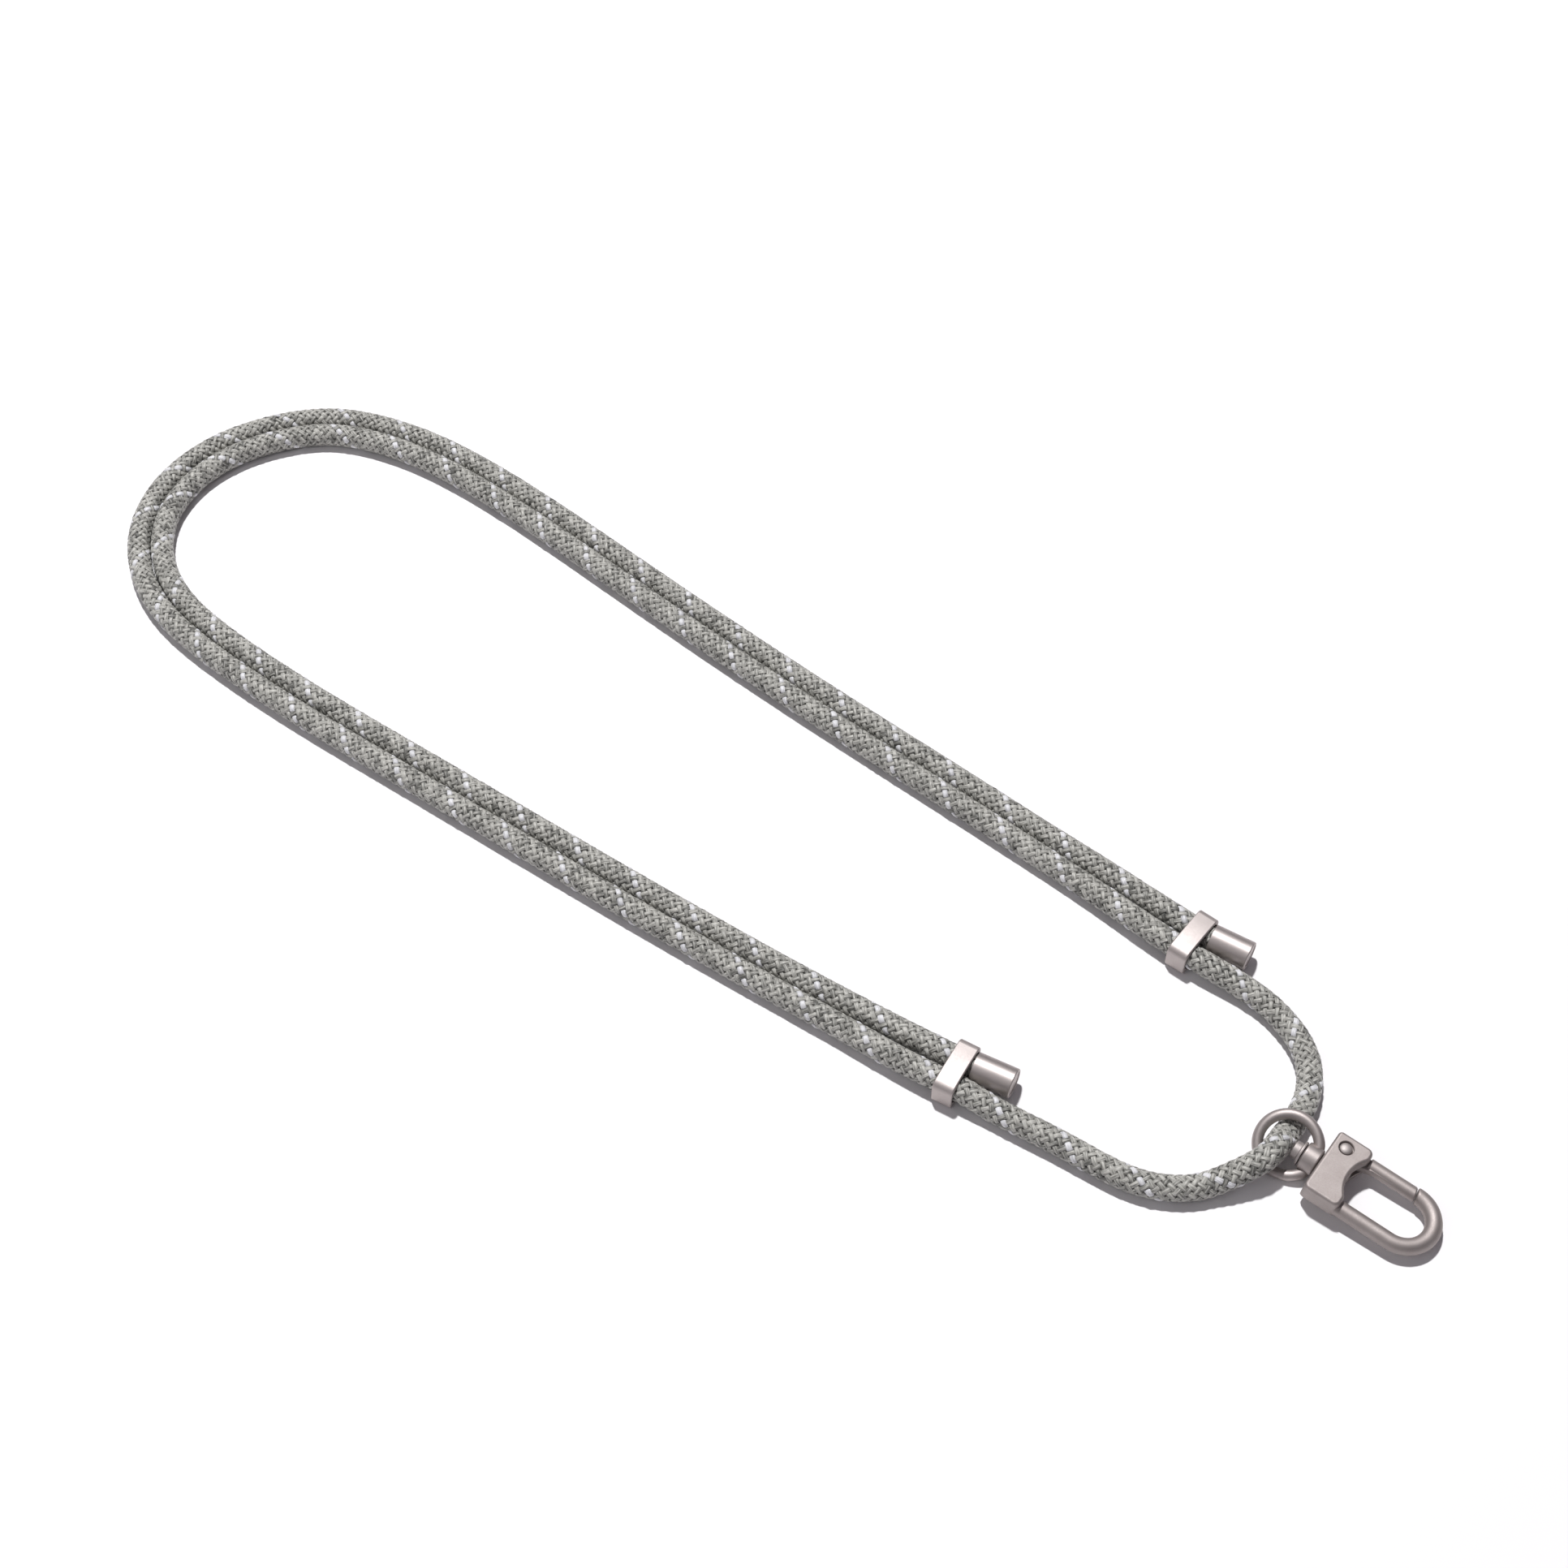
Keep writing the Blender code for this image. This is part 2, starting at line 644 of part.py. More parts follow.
def make_gate(finish):
    """Make the gate: an eye on the rivet, a flat tongue and a round arm that ends at the nose."""
    arm_start = BODY_END + 2 * FIT
    arm_points = [(arm_start, HOOK_BEND_RADIUS), (BEND_X + NOSE_ROOM, HOOK_BEND_RADIUS)]
    gate = bar_along("gate", arm_points, GATE_BAR / 2, 24)
    gate = combine(gate, nose_cutter("end_cut", 1, -FIT / 2), "DIFFERENCE")
    half = GATE_TONGUE / 2
    eye = cylinder(
        "eye", GATE_EYE / 2, (PIVOT_X, PIVOT_OFFSET, -half), (PIVOT_X, PIVOT_OFFSET, half), 32
    )
    start = Vector((PIVOT_X, PIVOT_OFFSET, 0.0))
    end = Vector((arm_start + 0.003, HOOK_BEND_RADIUS, 0.0))
    run = end - start
    tongue_size = (run.length, GATE_TONGUE_WIDTH, GATE_TONGUE - 0.0002)
    tongue = block("tongue", tongue_size, (0.0, 0.0, 0.0), 0, 0.0, 0.0, 1)
    turn = Matrix.Rotation(math.atan2(run.y, run.x), 4, "Z")
    place(tongue, Matrix.Translation((start + end) / 2) @ turn)
    eye = combine(eye, tongue, "UNION")
    gate = combine(gate, eye, "UNION")
    hole_r = RIVET_SHANK / 2 + FIT
    hole = cylinder(
        "hole", hole_r, (PIVOT_X, PIVOT_OFFSET, -0.01), (PIVOT_X, PIVOT_OFFSET, 0.01), 24
    )
    gate = combine(gate, hole, "DIFFERENCE")
    place(gate, clasp_place())
    gate.data.materials.append(finish)
    return with_origin(gate, on_clasp(PIVOT_X, PIVOT_OFFSET))


def make_rivet(finish):
    """Make the rivet: a domed head in the body's recess and a shank through the gate's eye."""
    top = BODY_THICKNESS / 2
    head_base = top - RIVET_RECESS + FIT
    head_r = RIVET_HEAD / 2
    shank_r = RIVET_SHANK / 2
    foot = -top + RIVET_FOOT
    rim = head_base + RIVET_RIM
    profile = [(foot, 0.0), (foot, shank_r), (head_base, shank_r), (head_base, head_r), (rim, head_r)]
    for k in range(1, 6):
        angle = math.pi / 2 * k / 6
        height = rim + RIVET_CROWN * math.sin(angle)
        profile.append((height, head_r * math.cos(angle)))
    profile.append((rim + RIVET_CROWN, 0.0))
    rivet = turned("gate_rivet", profile, 32)
    upright = Matrix.Rotation(-math.pi / 2, 4, "Y")
    place(rivet, clasp_place() @ Matrix.Translation((PIVOT_X, PIVOT_OFFSET, 0.0)) @ upright)
    rivet.data.materials.append(finish)
    return with_origin(rivet, on_clasp(PIVOT_X, PIVOT_OFFSET))


def main():
    """Make every piece of the strap."""
    clear_scene()
    cord = material("sage_cord", (0.36, 0.36, 0.33), 0.0, 0.85)
    slider_metal = material("slider_nickel", (0.66, 0.61, 0.58), 1.0, 0.32)
    cap_metal = material("cap_nickel", (0.66, 0.61, 0.58), 1.0, 0.28)
    ring_metal = material("ring_nickel", (0.58, 0.53, 0.51), 1.0, 0.36)
    clasp_metal = material("clasp_nickel", (0.62, 0.57, 0.55), 1.0, 0.38)
    pin_metal = material("pin_steel", (0.68, 0.65, 0.63), 1.0, 0.25)
    make_rope(cord)
    make_slider("upper_slider", UPPER_SLIDER, slider_metal)
    make_slider("lower_slider", LOWER_SLIDER, slider_metal)
    make_cap("upper_end_cap", UPPER_SLIDER, cap_metal)
    make_cap("lower_end_cap", LOWER_SLIDER, cap_metal)
    make_ring(ring_metal)
    make_pin(pin_metal)
    make_hook_body(clasp_metal)
    make_gate(clasp_metal)
    make_rivet(pin_metal)


main()
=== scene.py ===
"""Dress the crossbody strap: a braided rope, two sliders, two end caps and a swivel clasp."""

import logging
import math
from dataclasses import dataclass
from enum import Enum
from typing import Callable, Sequence

import bmesh
import bpy
import numpy as np
from mathutils import Matrix, Vector

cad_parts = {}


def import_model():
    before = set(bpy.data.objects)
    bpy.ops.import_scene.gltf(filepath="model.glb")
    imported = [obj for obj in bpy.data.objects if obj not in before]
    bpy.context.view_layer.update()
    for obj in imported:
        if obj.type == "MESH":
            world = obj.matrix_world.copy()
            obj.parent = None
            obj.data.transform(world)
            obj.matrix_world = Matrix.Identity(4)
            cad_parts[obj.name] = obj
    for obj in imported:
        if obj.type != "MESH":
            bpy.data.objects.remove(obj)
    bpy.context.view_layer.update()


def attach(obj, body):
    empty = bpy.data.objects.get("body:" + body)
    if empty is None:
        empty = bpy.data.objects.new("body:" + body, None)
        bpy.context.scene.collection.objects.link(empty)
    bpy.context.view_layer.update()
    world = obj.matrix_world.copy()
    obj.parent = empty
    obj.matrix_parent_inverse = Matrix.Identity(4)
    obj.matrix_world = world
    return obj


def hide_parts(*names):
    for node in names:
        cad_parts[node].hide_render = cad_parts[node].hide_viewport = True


LOG = logging.getLogger("strap")

Solid = bpy.types.Object
Material = bpy.types.Material
Socket = bpy.types.NodeSocket
Point = tuple[float, float, float]
Flat = tuple[float, float]
Colour = tuple[float, float, float]
Frames = tuple[np.ndarray, np.ndarray, np.ndarray, np.ndarray]
SliderPlace = tuple[float, float, float, float]

# Each slider's x and y in metres, its heading and how far its cap is turned, in degrees.
UPPER_SLIDER: SliderPlace = (-0.0374, 0.0423, -2.0, 8.0)
LOWER_SLIDER: SliderPlace = (-0.0703, -0.0430, 7.0, 3.0)

# Points nearer than WELD are merged, and those nearer than TOUCH to a line count as on it.
WELD = 1e-6
TOUCH = 1e-5
SPLINE_STEP = 0.0005
EDGE_STEPS = 4
BAR_FACETS = 40


class Body(Enum):
    """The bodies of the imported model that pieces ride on."""

    STRAP = "strap"
    HOOK = "hook"
    GATE = "gate_arm"


class Slot(Enum):
    """The material slots' names."""

    CORD = "sage_cord"
    SLIDER = "slider_nickel"
    CAP = "cap_nickel"
    RING = "ring_nickel"
    CLASP = "clasp_nickel"
    PIN = "pin_steel"


class Part(Enum):
    """What an edit-mode selection picks: the selection mode, and its list in a bmesh."""

    POINTS = ("VERT", "verts")
    LINES = ("EDGE", "edges")
    FACES = ("FACE", "faces")


class Join(Enum):
    """How a second solid changes the first."""

    ADD = "UNION"
    CUT = "DIFFERENCE"


def clear_selection() -> None:
    """Leave edit mode and deselect every object."""
    if bpy.context.object and bpy.context.object.mode != "OBJECT":
        bpy.ops.object.mode_set(mode="OBJECT")
    bpy.ops.object.select_all(action="DESELECT")


def take_up(obj: Solid) -> None:
    """Select one object alone and make it the active one.

    Args:
        obj: the object.
    """
    clear_selection()
    obj.select_set(True)
    bpy.context.view_layer.objects.active = obj


def pull(step: Point) -> None:
    """Extrude what is selected and move it by a step."""
    bpy.ops.mesh.extrude_region_move(TRANSFORM_OT_translate={"value": step})


class Workpiece:
    """One mesh that is shaped in edit mode with Blender's own tools, as by hand."""

    def __init__(self, name: str) -> None:
        """Name the active object and open it in edit mode.

        Args:
            name: the piece's name.
        """
        self.obj = bpy.context.object
        self.obj.name = name
        self.obj.data.name = name
        bpy.ops.object.mode_set(mode="EDIT")
        bpy.ops.mesh.select_mode(type="VERT")

    @classmethod
    def block(cls, name: str, size: Point, centre: Point = (0.0, 0.0, 0.0)) -> "Workpiece":
        """Start from a cube of a size at a place.

        Args:
            name: the piece's name.
            size: its length, width and height.
            centre: its middle.

        Returns:
            The open workpiece.
        """
        clear_selection()
        bpy.ops.mesh.primitive_cube_add(size=1.0, location=(0.0, 0.0, 0.0))
        piece = cls(name)
        bpy.ops.transform.resize(value=size)
        bpy.ops.transform.translate(value=centre)
        return piece

    @classmethod
    def disc(cls, name: str, radius: float, centre: Point) -> "Workpiece":
        """Start from a filled circle that faces along X.

        Args:
            name: the piece's name.
            radius: the circle's radius.
            centre: its middle.

        Returns:
            The open workpiece, with the circle selected.
        """
        clear_selection()
        bpy.ops.mesh.primitive_circle_add(
            vertices=BAR_FACETS, radius=radius, fill_type="NGON",
            location=(0.0, 0.0, 0.0), rotation=(0.0, math.pi / 2, 0.0),
        )
        bpy.ops.object.transform_apply(location=True, rotation=True, scale=True)
        piece = cls(name)
        bpy.ops.mesh.select_all(action="SELECT")
        bpy.ops.transform.translate(value=centre)
        return piece

    @classmethod
    def chain(cls, name: str, points: Sequence[Point]) -> "Workpiece":
        """Start from one vertex and pull it along points into a line.

        Args:
            name: the piece's name.
            points: the line's corners in order.

        Returns:
            The open workpiece, with the last vertex selected.
        """
        clear_selection()
        bpy.ops.mesh.primitive_plane_add(size=0.001, location=(0.0, 0.0, 0.0))
        piece = cls(name)
        bpy.ops.mesh.select_all(action="SELECT")
        bpy.ops.mesh.merge(type="CENTER")
        bpy.ops.transform.translate(value=points[0])
        for a, b in zip(points[:-1], points[1:]):
            step = tuple(q - p for p, q in zip(a, b))
            bpy.ops.mesh.extrude_vertices_move(TRANSFORM_OT_translate={"value": step})
        return piece

    @classmethod
    def turned(cls, name: str, profile: Sequence[Flat], steps: int) -> Solid:
        """Spin a profile of (x, radius) pairs round the X axis.

        Args:
            name: the piece's name.
            profile: pairs that begin and end on the axis.
            steps: how many facets the turning has.

        Returns:
            The turned mesh object.
        """
        piece = cls.chain(name, [(x, r, 0.0) for x, r in profile])
        bpy.ops.mesh.select_all(action="SELECT")
        bpy.ops.mesh.spin(steps=steps, angle=2 * math.pi, center=(0, 0, 0), axis=(1, 0, 0))
        piece.clean()
        return piece.close()

    @classmethod
    def rod(
        cls, name: str, low: float, high: float, radius: float, steps: int = BAR_FACETS
    ) -> Solid:
        """Turn a plain rod that lies along X from one place to another."""
        profile = [(low, 0.0), (low, radius), (high, radius), (high, 0.0)]
        return cls.turned(name, profile, steps)

    @classmethod
    def prism(
        cls, name: str, outline: Sequence[Flat], rise: float,
        corners: Sequence[tuple[Flat, float]] = (),
    ) -> "Workpiece":
        """Fill an outline, round some of its corners and pull it up into a plate.

        Args:
            name: the piece's name.
            outline: the (x, y) corners in order.
            rise: how far the top lies above the middle, and the underside below it.
            corners: (corner, radius) pairs of the outline that are rounded.

        Returns:
            The open workpiece.
        """
        piece = cls.chain(name, [(x, y, -rise) for x, y in outline])
        bpy.ops.mesh.select_all(action="SELECT")
        bpy.ops.mesh.edge_face_add()
        for (x, y), radius in corners:
            piece.pick(Part.POINTS, lambda v: math.hypot(v.co.x - x, v.co.y - y) < TOUCH)
            bpy.ops.mesh.bevel(affect="VERTICES", offset=radius, segments=6, profile=0.5)
        bpy.ops.mesh.select_all(action="SELECT")
        pull((0.0, 0.0, 2 * rise))
        piece.clean()
        return piece

    def pick(self, part: Part, test: Callable) -> int:
        """Select the parts that a test is true for, and nothing else.

        Args:
            part: whether points, lines or faces are picked.
            test: takes a bmesh element and returns whether to select it.

        Returns:
            How many were selected.
        """
        mode, group = part.value
        bpy.ops.mesh.select_mode(type=mode)
        bpy.ops.mesh.select_all(action="DESELECT")
        bm = bmesh.from_edit_mesh(self.obj.data)
        found = [element for element in getattr(bm, group) if test(element)]
        for element in found:
            element.select_set(True)
        bm.select_flush_mode()
        bmesh.update_edit_mesh(self.obj.data)
        return len(found)

    def round_lines(self, test: Callable, width: float, segments: int = EDGE_STEPS) -> None:
        """Bevel the edges that a test is true for."""
        if self.pick(Part.LINES, test):
            bpy.ops.mesh.bevel(offset=width, segments=segments, profile=0.5, affect="EDGES")

    def crown_plate(self, radius: float, steps: int) -> None:
        """Round both rims of an upright plate by insets that also rise.

        Args:
            radius: the rims' radius, which is also how much taller each side gets.
            steps: how many facets each rim has.
        """
        turns = [math.pi / 2 * k / steps for k in range(steps + 1)]
        for side in (1.0, -1.0):
            self.pick(Part.FACES, lambda face: face.normal.z * side > 0.99)
            for low, high in zip(turns[:-1], turns[1:]):
                bpy.ops.mesh.inset(
                    thickness=radius * (math.cos(low) - math.cos(high)),
                    depth=radius * (math.sin(high) - math.sin(low)),
                )

    def clean(self) -> None:
        """Merge doubles and turn every face outwards."""
        bpy.ops.mesh.select_all(action="SELECT")
        bpy.ops.mesh.remove_doubles(threshold=WELD)
        bpy.ops.mesh.normals_make_consistent(inside=False)

    def close(self) -> Solid:
        """Clean the mesh and leave edit mode.

        Returns:
            The finished mesh object.
        """
        self.clean()
        bpy.ops.object.mode_set(mode="OBJECT")
        return self.obj


def combine(target: Solid, tool: Solid, join: Join) -> None:
    """Join a second solid to the first, or cut it away.

    Args:
        target: the solid that is changed.
        tool: the solid that is used up.
        join: whether it is added or cut away.
    """
    take_up(target)
    change = target.modifiers.new(join.name.lower(), "BOOLEAN")
    change.operation = join.value
    change.solver = "EXACT"
    change.object = tool
    bpy.ops.object.modifier_apply(modifier=change.name)
    bpy.data.objects.remove(tool, do_unlink=True)


def rounded_corner(x: float, radius: float, edge: float, climbing: bool) -> list[Flat]:
    """Round one outer corner of a turned profile.

    Args:
        x: the corner's place along the axis.
        radius: its distance from the axis.
        edge: the rounding's radius.
        climbing: whether the profile comes up to the corner, rather than goes down from it.

    Returns:
        The rounding's points in order.
    """
    angles = [math.pi / 2 * k / EDGE_STEPS for k in range(EDGE_STEPS + 1)]
    bends = [(edge * (1 - math.sin(a)), edge * (1 - math.cos(a))) for a in angles]
    if climbing:
        return [(x + less, radius - more) for more, less in bends]
    return [(x - more, radius - less) for more, less in bends]


def dress(
    obj: Solid, finish: Material, body: Body, node: str,
    sharp: float,
) -> Solid:
    """Shade a piece, give it its material and its body, and hide the solid that it stands for.

    Args:
        obj: the piece.
        finish: its material.
        body: the body that it rides on.
        node: the solid that it replaces.
        sharp: the angle in degrees past which an edge stays a corner.

    Returns:
        The piece.
    """
    take_up(obj)
    bpy.ops.object.shade_smooth_by_angle(angle=math.radians(sharp))
    even = obj.modifiers.new("even_normals", "WEIGHTED_NORMAL")
    even.keep_sharp = True
    bpy.ops.object.modifier_apply(modifier=even.name)
    obj.data.materials.clear()
    obj.data.materials.append(finish)
    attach(obj, body.value)
    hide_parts(node)
    LOG.info("%s: %d faces", obj.name, len(obj.data.polygons))
    return obj


class Recipe:
    """A node tree that a finish builds, with short ways to add and wire nodes."""

    def __init__(self, name: str) -> None:
        """Start a material with a Principled shader.

        Args:
            name: the material's name.
        """
        self.material = bpy.data.materials.new(name)
        self.material.use_nodes = True
        self.tree = self.material.node_tree
        self.shader = self.tree.nodes["Principled BSDF"]

    def node(self, kind: str, **settings: object) -> bpy.types.Node:
        """Add a node.

        Args:
            kind: Blender's name of the node's type.
            settings: its properties.

        Returns:
            The node.
        """
        made = self.tree.nodes.new(kind)
        for name, value in settings.items():
            setattr(made, name, value)
        return made

    def feed(self, target: Socket, source: object) -> None:
        """Wire a socket to another one, or set it to a plain value.

        Args:
            target: the input socket.
            source: an output socket, a number or a vector.
        """
        if isinstance(source, Socket):
            self.tree.links.new(source, target)
        else:
            target.default_value = source

    def surface(self, **values: object) -> None:
        """Feed the shader's own sockets, each named with _ for its spaces."""
        for name, value in values.items():
            self.feed(self.shader.inputs[name.replace("_", " ")], value)

    def place(self) -> Socket:
        """Give the object's own coordinates."""
        return self.node("ShaderNodeTexCoord").outputs["Object"]

    def noise(
        self, place: Socket, scale: float, detail: float,
        stretch: Point = (1.0, 1.0, 1.0),
    ) -> Socket:
        """Add a noise pattern.

        Args:
            place: the coordinates that it reads.
            scale: how fine it is.
            detail: how many finer layers it has.
            stretch: how much finer it is along each axis.

        Returns:
            The noise's value.
        """
        mapping = self.node("ShaderNodeMapping")
        self.feed(mapping.inputs["Scale"], stretch)
        self.feed(mapping.inputs["Vector"], place)
        grain = self.node("ShaderNodeTexNoise")
        self.feed(grain.inputs["Scale"], scale)
        self.feed(grain.inputs["Detail"], detail)
        self.feed(grain.inputs["Vector"], mapping.outputs["Vector"])
        return grain.outputs["Fac"]

    def work_out(self, operation: str, *terms: object) -> Socket:
        """Add a Math node.

        Args:
            operation: Blender's name of the operation.
            terms: its sockets or numbers in order.

        Returns:
            The result.
        """
        made = self.node("ShaderNodeMath", operation=operation)
        for target, term in zip(made.inputs, terms):
            self.feed(target, term)
        return made.outputs["Value"]

    def ramp(self, value: Socket, *stops: tuple[float, Colour]) -> Socket:
        """Turn a value into a colour.

        Args:
            value: what it reads.
            stops: (position, colour) pairs in order.

        Returns:
            The colour.
        """
        ramp = self.node("ShaderNodeValToRGB")
        band = ramp.color_ramp
        while len(band.elements) < len(stops):
            band.elements.new(0.5)
        for element, (position, colour) in zip(band.elements, stops):
            element.position = position
            element.color = (*colour, 1.0)
        self.feed(ramp.inputs["Fac"], value)
        return ramp.outputs["Color"]

    def span(self, value: Socket, low: float, high: float) -> Socket:
        """Spread a pattern's middle range over new limits.

        Args:
            value: the pattern.
            low: the result where the pattern is 0.3.
            high: the result where it is 0.7.

        Returns:
            The new value.
        """
        spread = self.node("ShaderNodeMapRange")
        for target, term in zip(spread.inputs, (value, 0.3, 0.7, low, high)):
            self.feed(target, term)
        return spread.outputs["Result"]

    def relief(self, value: Socket, strength: float, depth: float) -> None:
        """Let a pattern raise the surface.

        Args:
            value: the pattern.
            strength: the bump's strength.
            depth: its height in metres.
        """
        bump = self.node("ShaderNodeBump")
        self.feed(bump.inputs["Strength"], strength)
        self.feed(bump.inputs["Distance"], depth)
        self.feed(bump.inputs["Height"], value)
        self.surface(Normal=bump.outputs["Normal"])


@dataclass(frozen=True)
class YarnFinish:
    """Fine filament yarn whose fibres run along each strand."""

    name: str
    shade: Colour
    body: Colour
    light: Colour
    fibre: Point = (0.40, 6.0, 1.0)
    clump: Point = (0.30, 2.1, 1.0)
    fibre_span: Flat = (0.0, 0.24)
    clump_span: Flat = (-0.20, 0.46)
    tone_and_painted_light_share: float = 0.62
    body_stop: float = 0.45
    clump_relief: float = 1.8

    def material(self) -> Material:
        """Build the yarn's material.

        Returns:
            The material, which reads the yarn UV map and the tone attribute.
        """
        recipe = Recipe(self.name)
        place = recipe.node("ShaderNodeUVMap", uv_map="yarn").outputs["UV"]
        fibres = recipe.noise(place, 1.0, 3.0, self.fibre)
        clumps = recipe.noise(place, 1.0, 2.0, self.clump)
        tone = recipe.node("ShaderNodeAttribute", attribute_name="tone").outputs["Fac"]
        fine = recipe.span(fibres, *self.fibre_span)
        coarse = recipe.span(clumps, *self.clump_span)
        streak = recipe.work_out("ADD", fine, coarse)
        # The attribute mixes each yarn's random tone with a painted highlight on its crown and
        # painted shade at its edges and ends.
        mixed = recipe.work_out("ADD", streak, recipe.work_out("MULTIPLY", tone, self.tone_and_painted_light_share))
        stops = ((0.0, self.shade), (self.body_stop, self.body), (1.0, self.light))
        height = recipe.work_out("MULTIPLY_ADD", clumps, self.clump_relief, fibres)
        recipe.relief(height, 0.8, 0.0002)
        recipe.surface(
            Base_Color=recipe.ramp(mixed, *stops), Roughness=0.44, Sheen_Weight=0.18,
            Sheen_Roughness=0.5, Specular_IOR_Level=0.6,
        )
        return recipe.material


@dataclass(frozen=True)
class PaintedShadeCore:
    """The inside of the braid, seen between the yarns, coloured dark as painted shade in the gaps.
    """

    name: str = "braid_shadow_core"
    # Painted shade: the core is coloured dark so that the gaps between the yarns read as shadow.
    dark: Colour = (0.050, 0.051, 0.046)
    pale: Colour = (0.100, 0.100, 0.092)
    fluff: float = 900.0

    def material(self) -> Material:
        """Build the core's material.

        Returns:
            The material.
        """
        recipe = Recipe(self.name)
        fluff = recipe.noise(recipe.place(), self.fluff, 4.0)
        colour = recipe.ramp(fluff, (0.3, self.dark), (0.7, self.pale))
        recipe.relief(fluff, 0.5, 0.0002)
        recipe.surface(Base_Color=colour, Roughness=0.95)
        return recipe.material


@dataclass(frozen=True)
class SatinNickel:
    """Satin nickel plate on metal, with faint wear and a fine cast grain."""

    name: str
    colour: Colour
    worn: Colour
    smooth: float
    rough: float
    cloud: float = 260.0
    grain: float = 2600.0

    def material(self) -> Material:
        """Build the plated metal.

        Returns:
            The material.
        """
        recipe = Recipe(self.name)
        place = recipe.place()
        cloud = recipe.noise(place, self.cloud, 3.0)
        grain = recipe.noise(place, self.grain, 3.0)
        colour = recipe.ramp(cloud, (0.3, self.colour), (0.72, self.worn))
        recipe.relief(grain, 0.12, 0.00003)
        satin = recipe.span(grain, self.smooth, self.rough)
        recipe.surface(Base_Color=colour, Roughness=satin, Metallic=1.0)
        return recipe.material


@dataclass(frozen=True)
class PaperFloor:
    """A matt white table surface."""

    name: str = "white_table"
    colour: Colour = (0.90, 0.89, 0.90)
    shade: float = 0.995

    def material(self) -> Material:
        """Build the table's material.

        Returns:
            The material.
        """
        recipe = Recipe(self.name)
        shaded = tuple(c * self.shade for c in self.colour)
        cloud = recipe.noise(recipe.place(), 3.0, 2.0)
        colour = recipe.ramp(cloud, (0.2, shaded), (0.8, self.colour))
        recipe.surface(Base_Color=colour, Roughness=0.9, Specular_IOR_Level=0.1)
        return recipe.material


def lengths_along(line: np.ndarray) -> np.ndarray:
    """Give how far along a line each of its points lies."""
    return np.concatenate([[0.0], np.cumsum(np.linalg.norm(np.diff(line, axis=0), axis=1))])


def headings(line: np.ndarray) -> np.ndarray:
    """Give a line's unit direction at each of its points."""
    ways = np.gradient(line, axis=0)
    return ways / np.linalg.norm(ways, axis=1)[:, None]


def read_off(marks: np.ndarray, at: np.ndarray, table: np.ndarray) -> np.ndarray:
    """Interpolate each column of a table, whose rows belong to the places at, at new marks."""
    return np.stack([np.interp(marks, at, column) for column in table.T], axis=-1)


def spline(points: Sequence[Sequence[float]]) -> np.ndarray:
    """Draw a natural cubic spline through points.

    Args:
        points: the points in order.

    Returns:
        Finely spaced points of the spline, one a row.
    """
    p = np.array(points, dtype=float)
    at = lengths_along(p)
    steps = np.diff(at)
    system = np.eye(len(p))
    right = np.zeros_like(p)
    for i in range(1, len(p) - 1):
        system[i, i - 1 : i + 2] = steps[i - 1], 2 * (steps[i - 1] + steps[i]), steps[i]
        right[i] = 6 * ((p[i + 1] - p[i]) / steps[i] - (p[i] - p[i - 1]) / steps[i - 1])
    bend = np.linalg.solve(system, right)
    u = np.linspace(0.0, at[-1], int(at[-1] / SPLINE_STEP) + 2)
    i = np.clip(np.searchsorted(at, u) - 1, 0, len(p) - 2)
    h = steps[i][:, None]
    a = (at[i + 1] - u)[:, None] / h
    b = (u - at[i])[:, None] / h
    curve = ((a**3 - a) * bend[i] + (b**3 - b) * bend[i + 1]) * h * h / 6
    return a * p[i] + b * p[i + 1] + curve


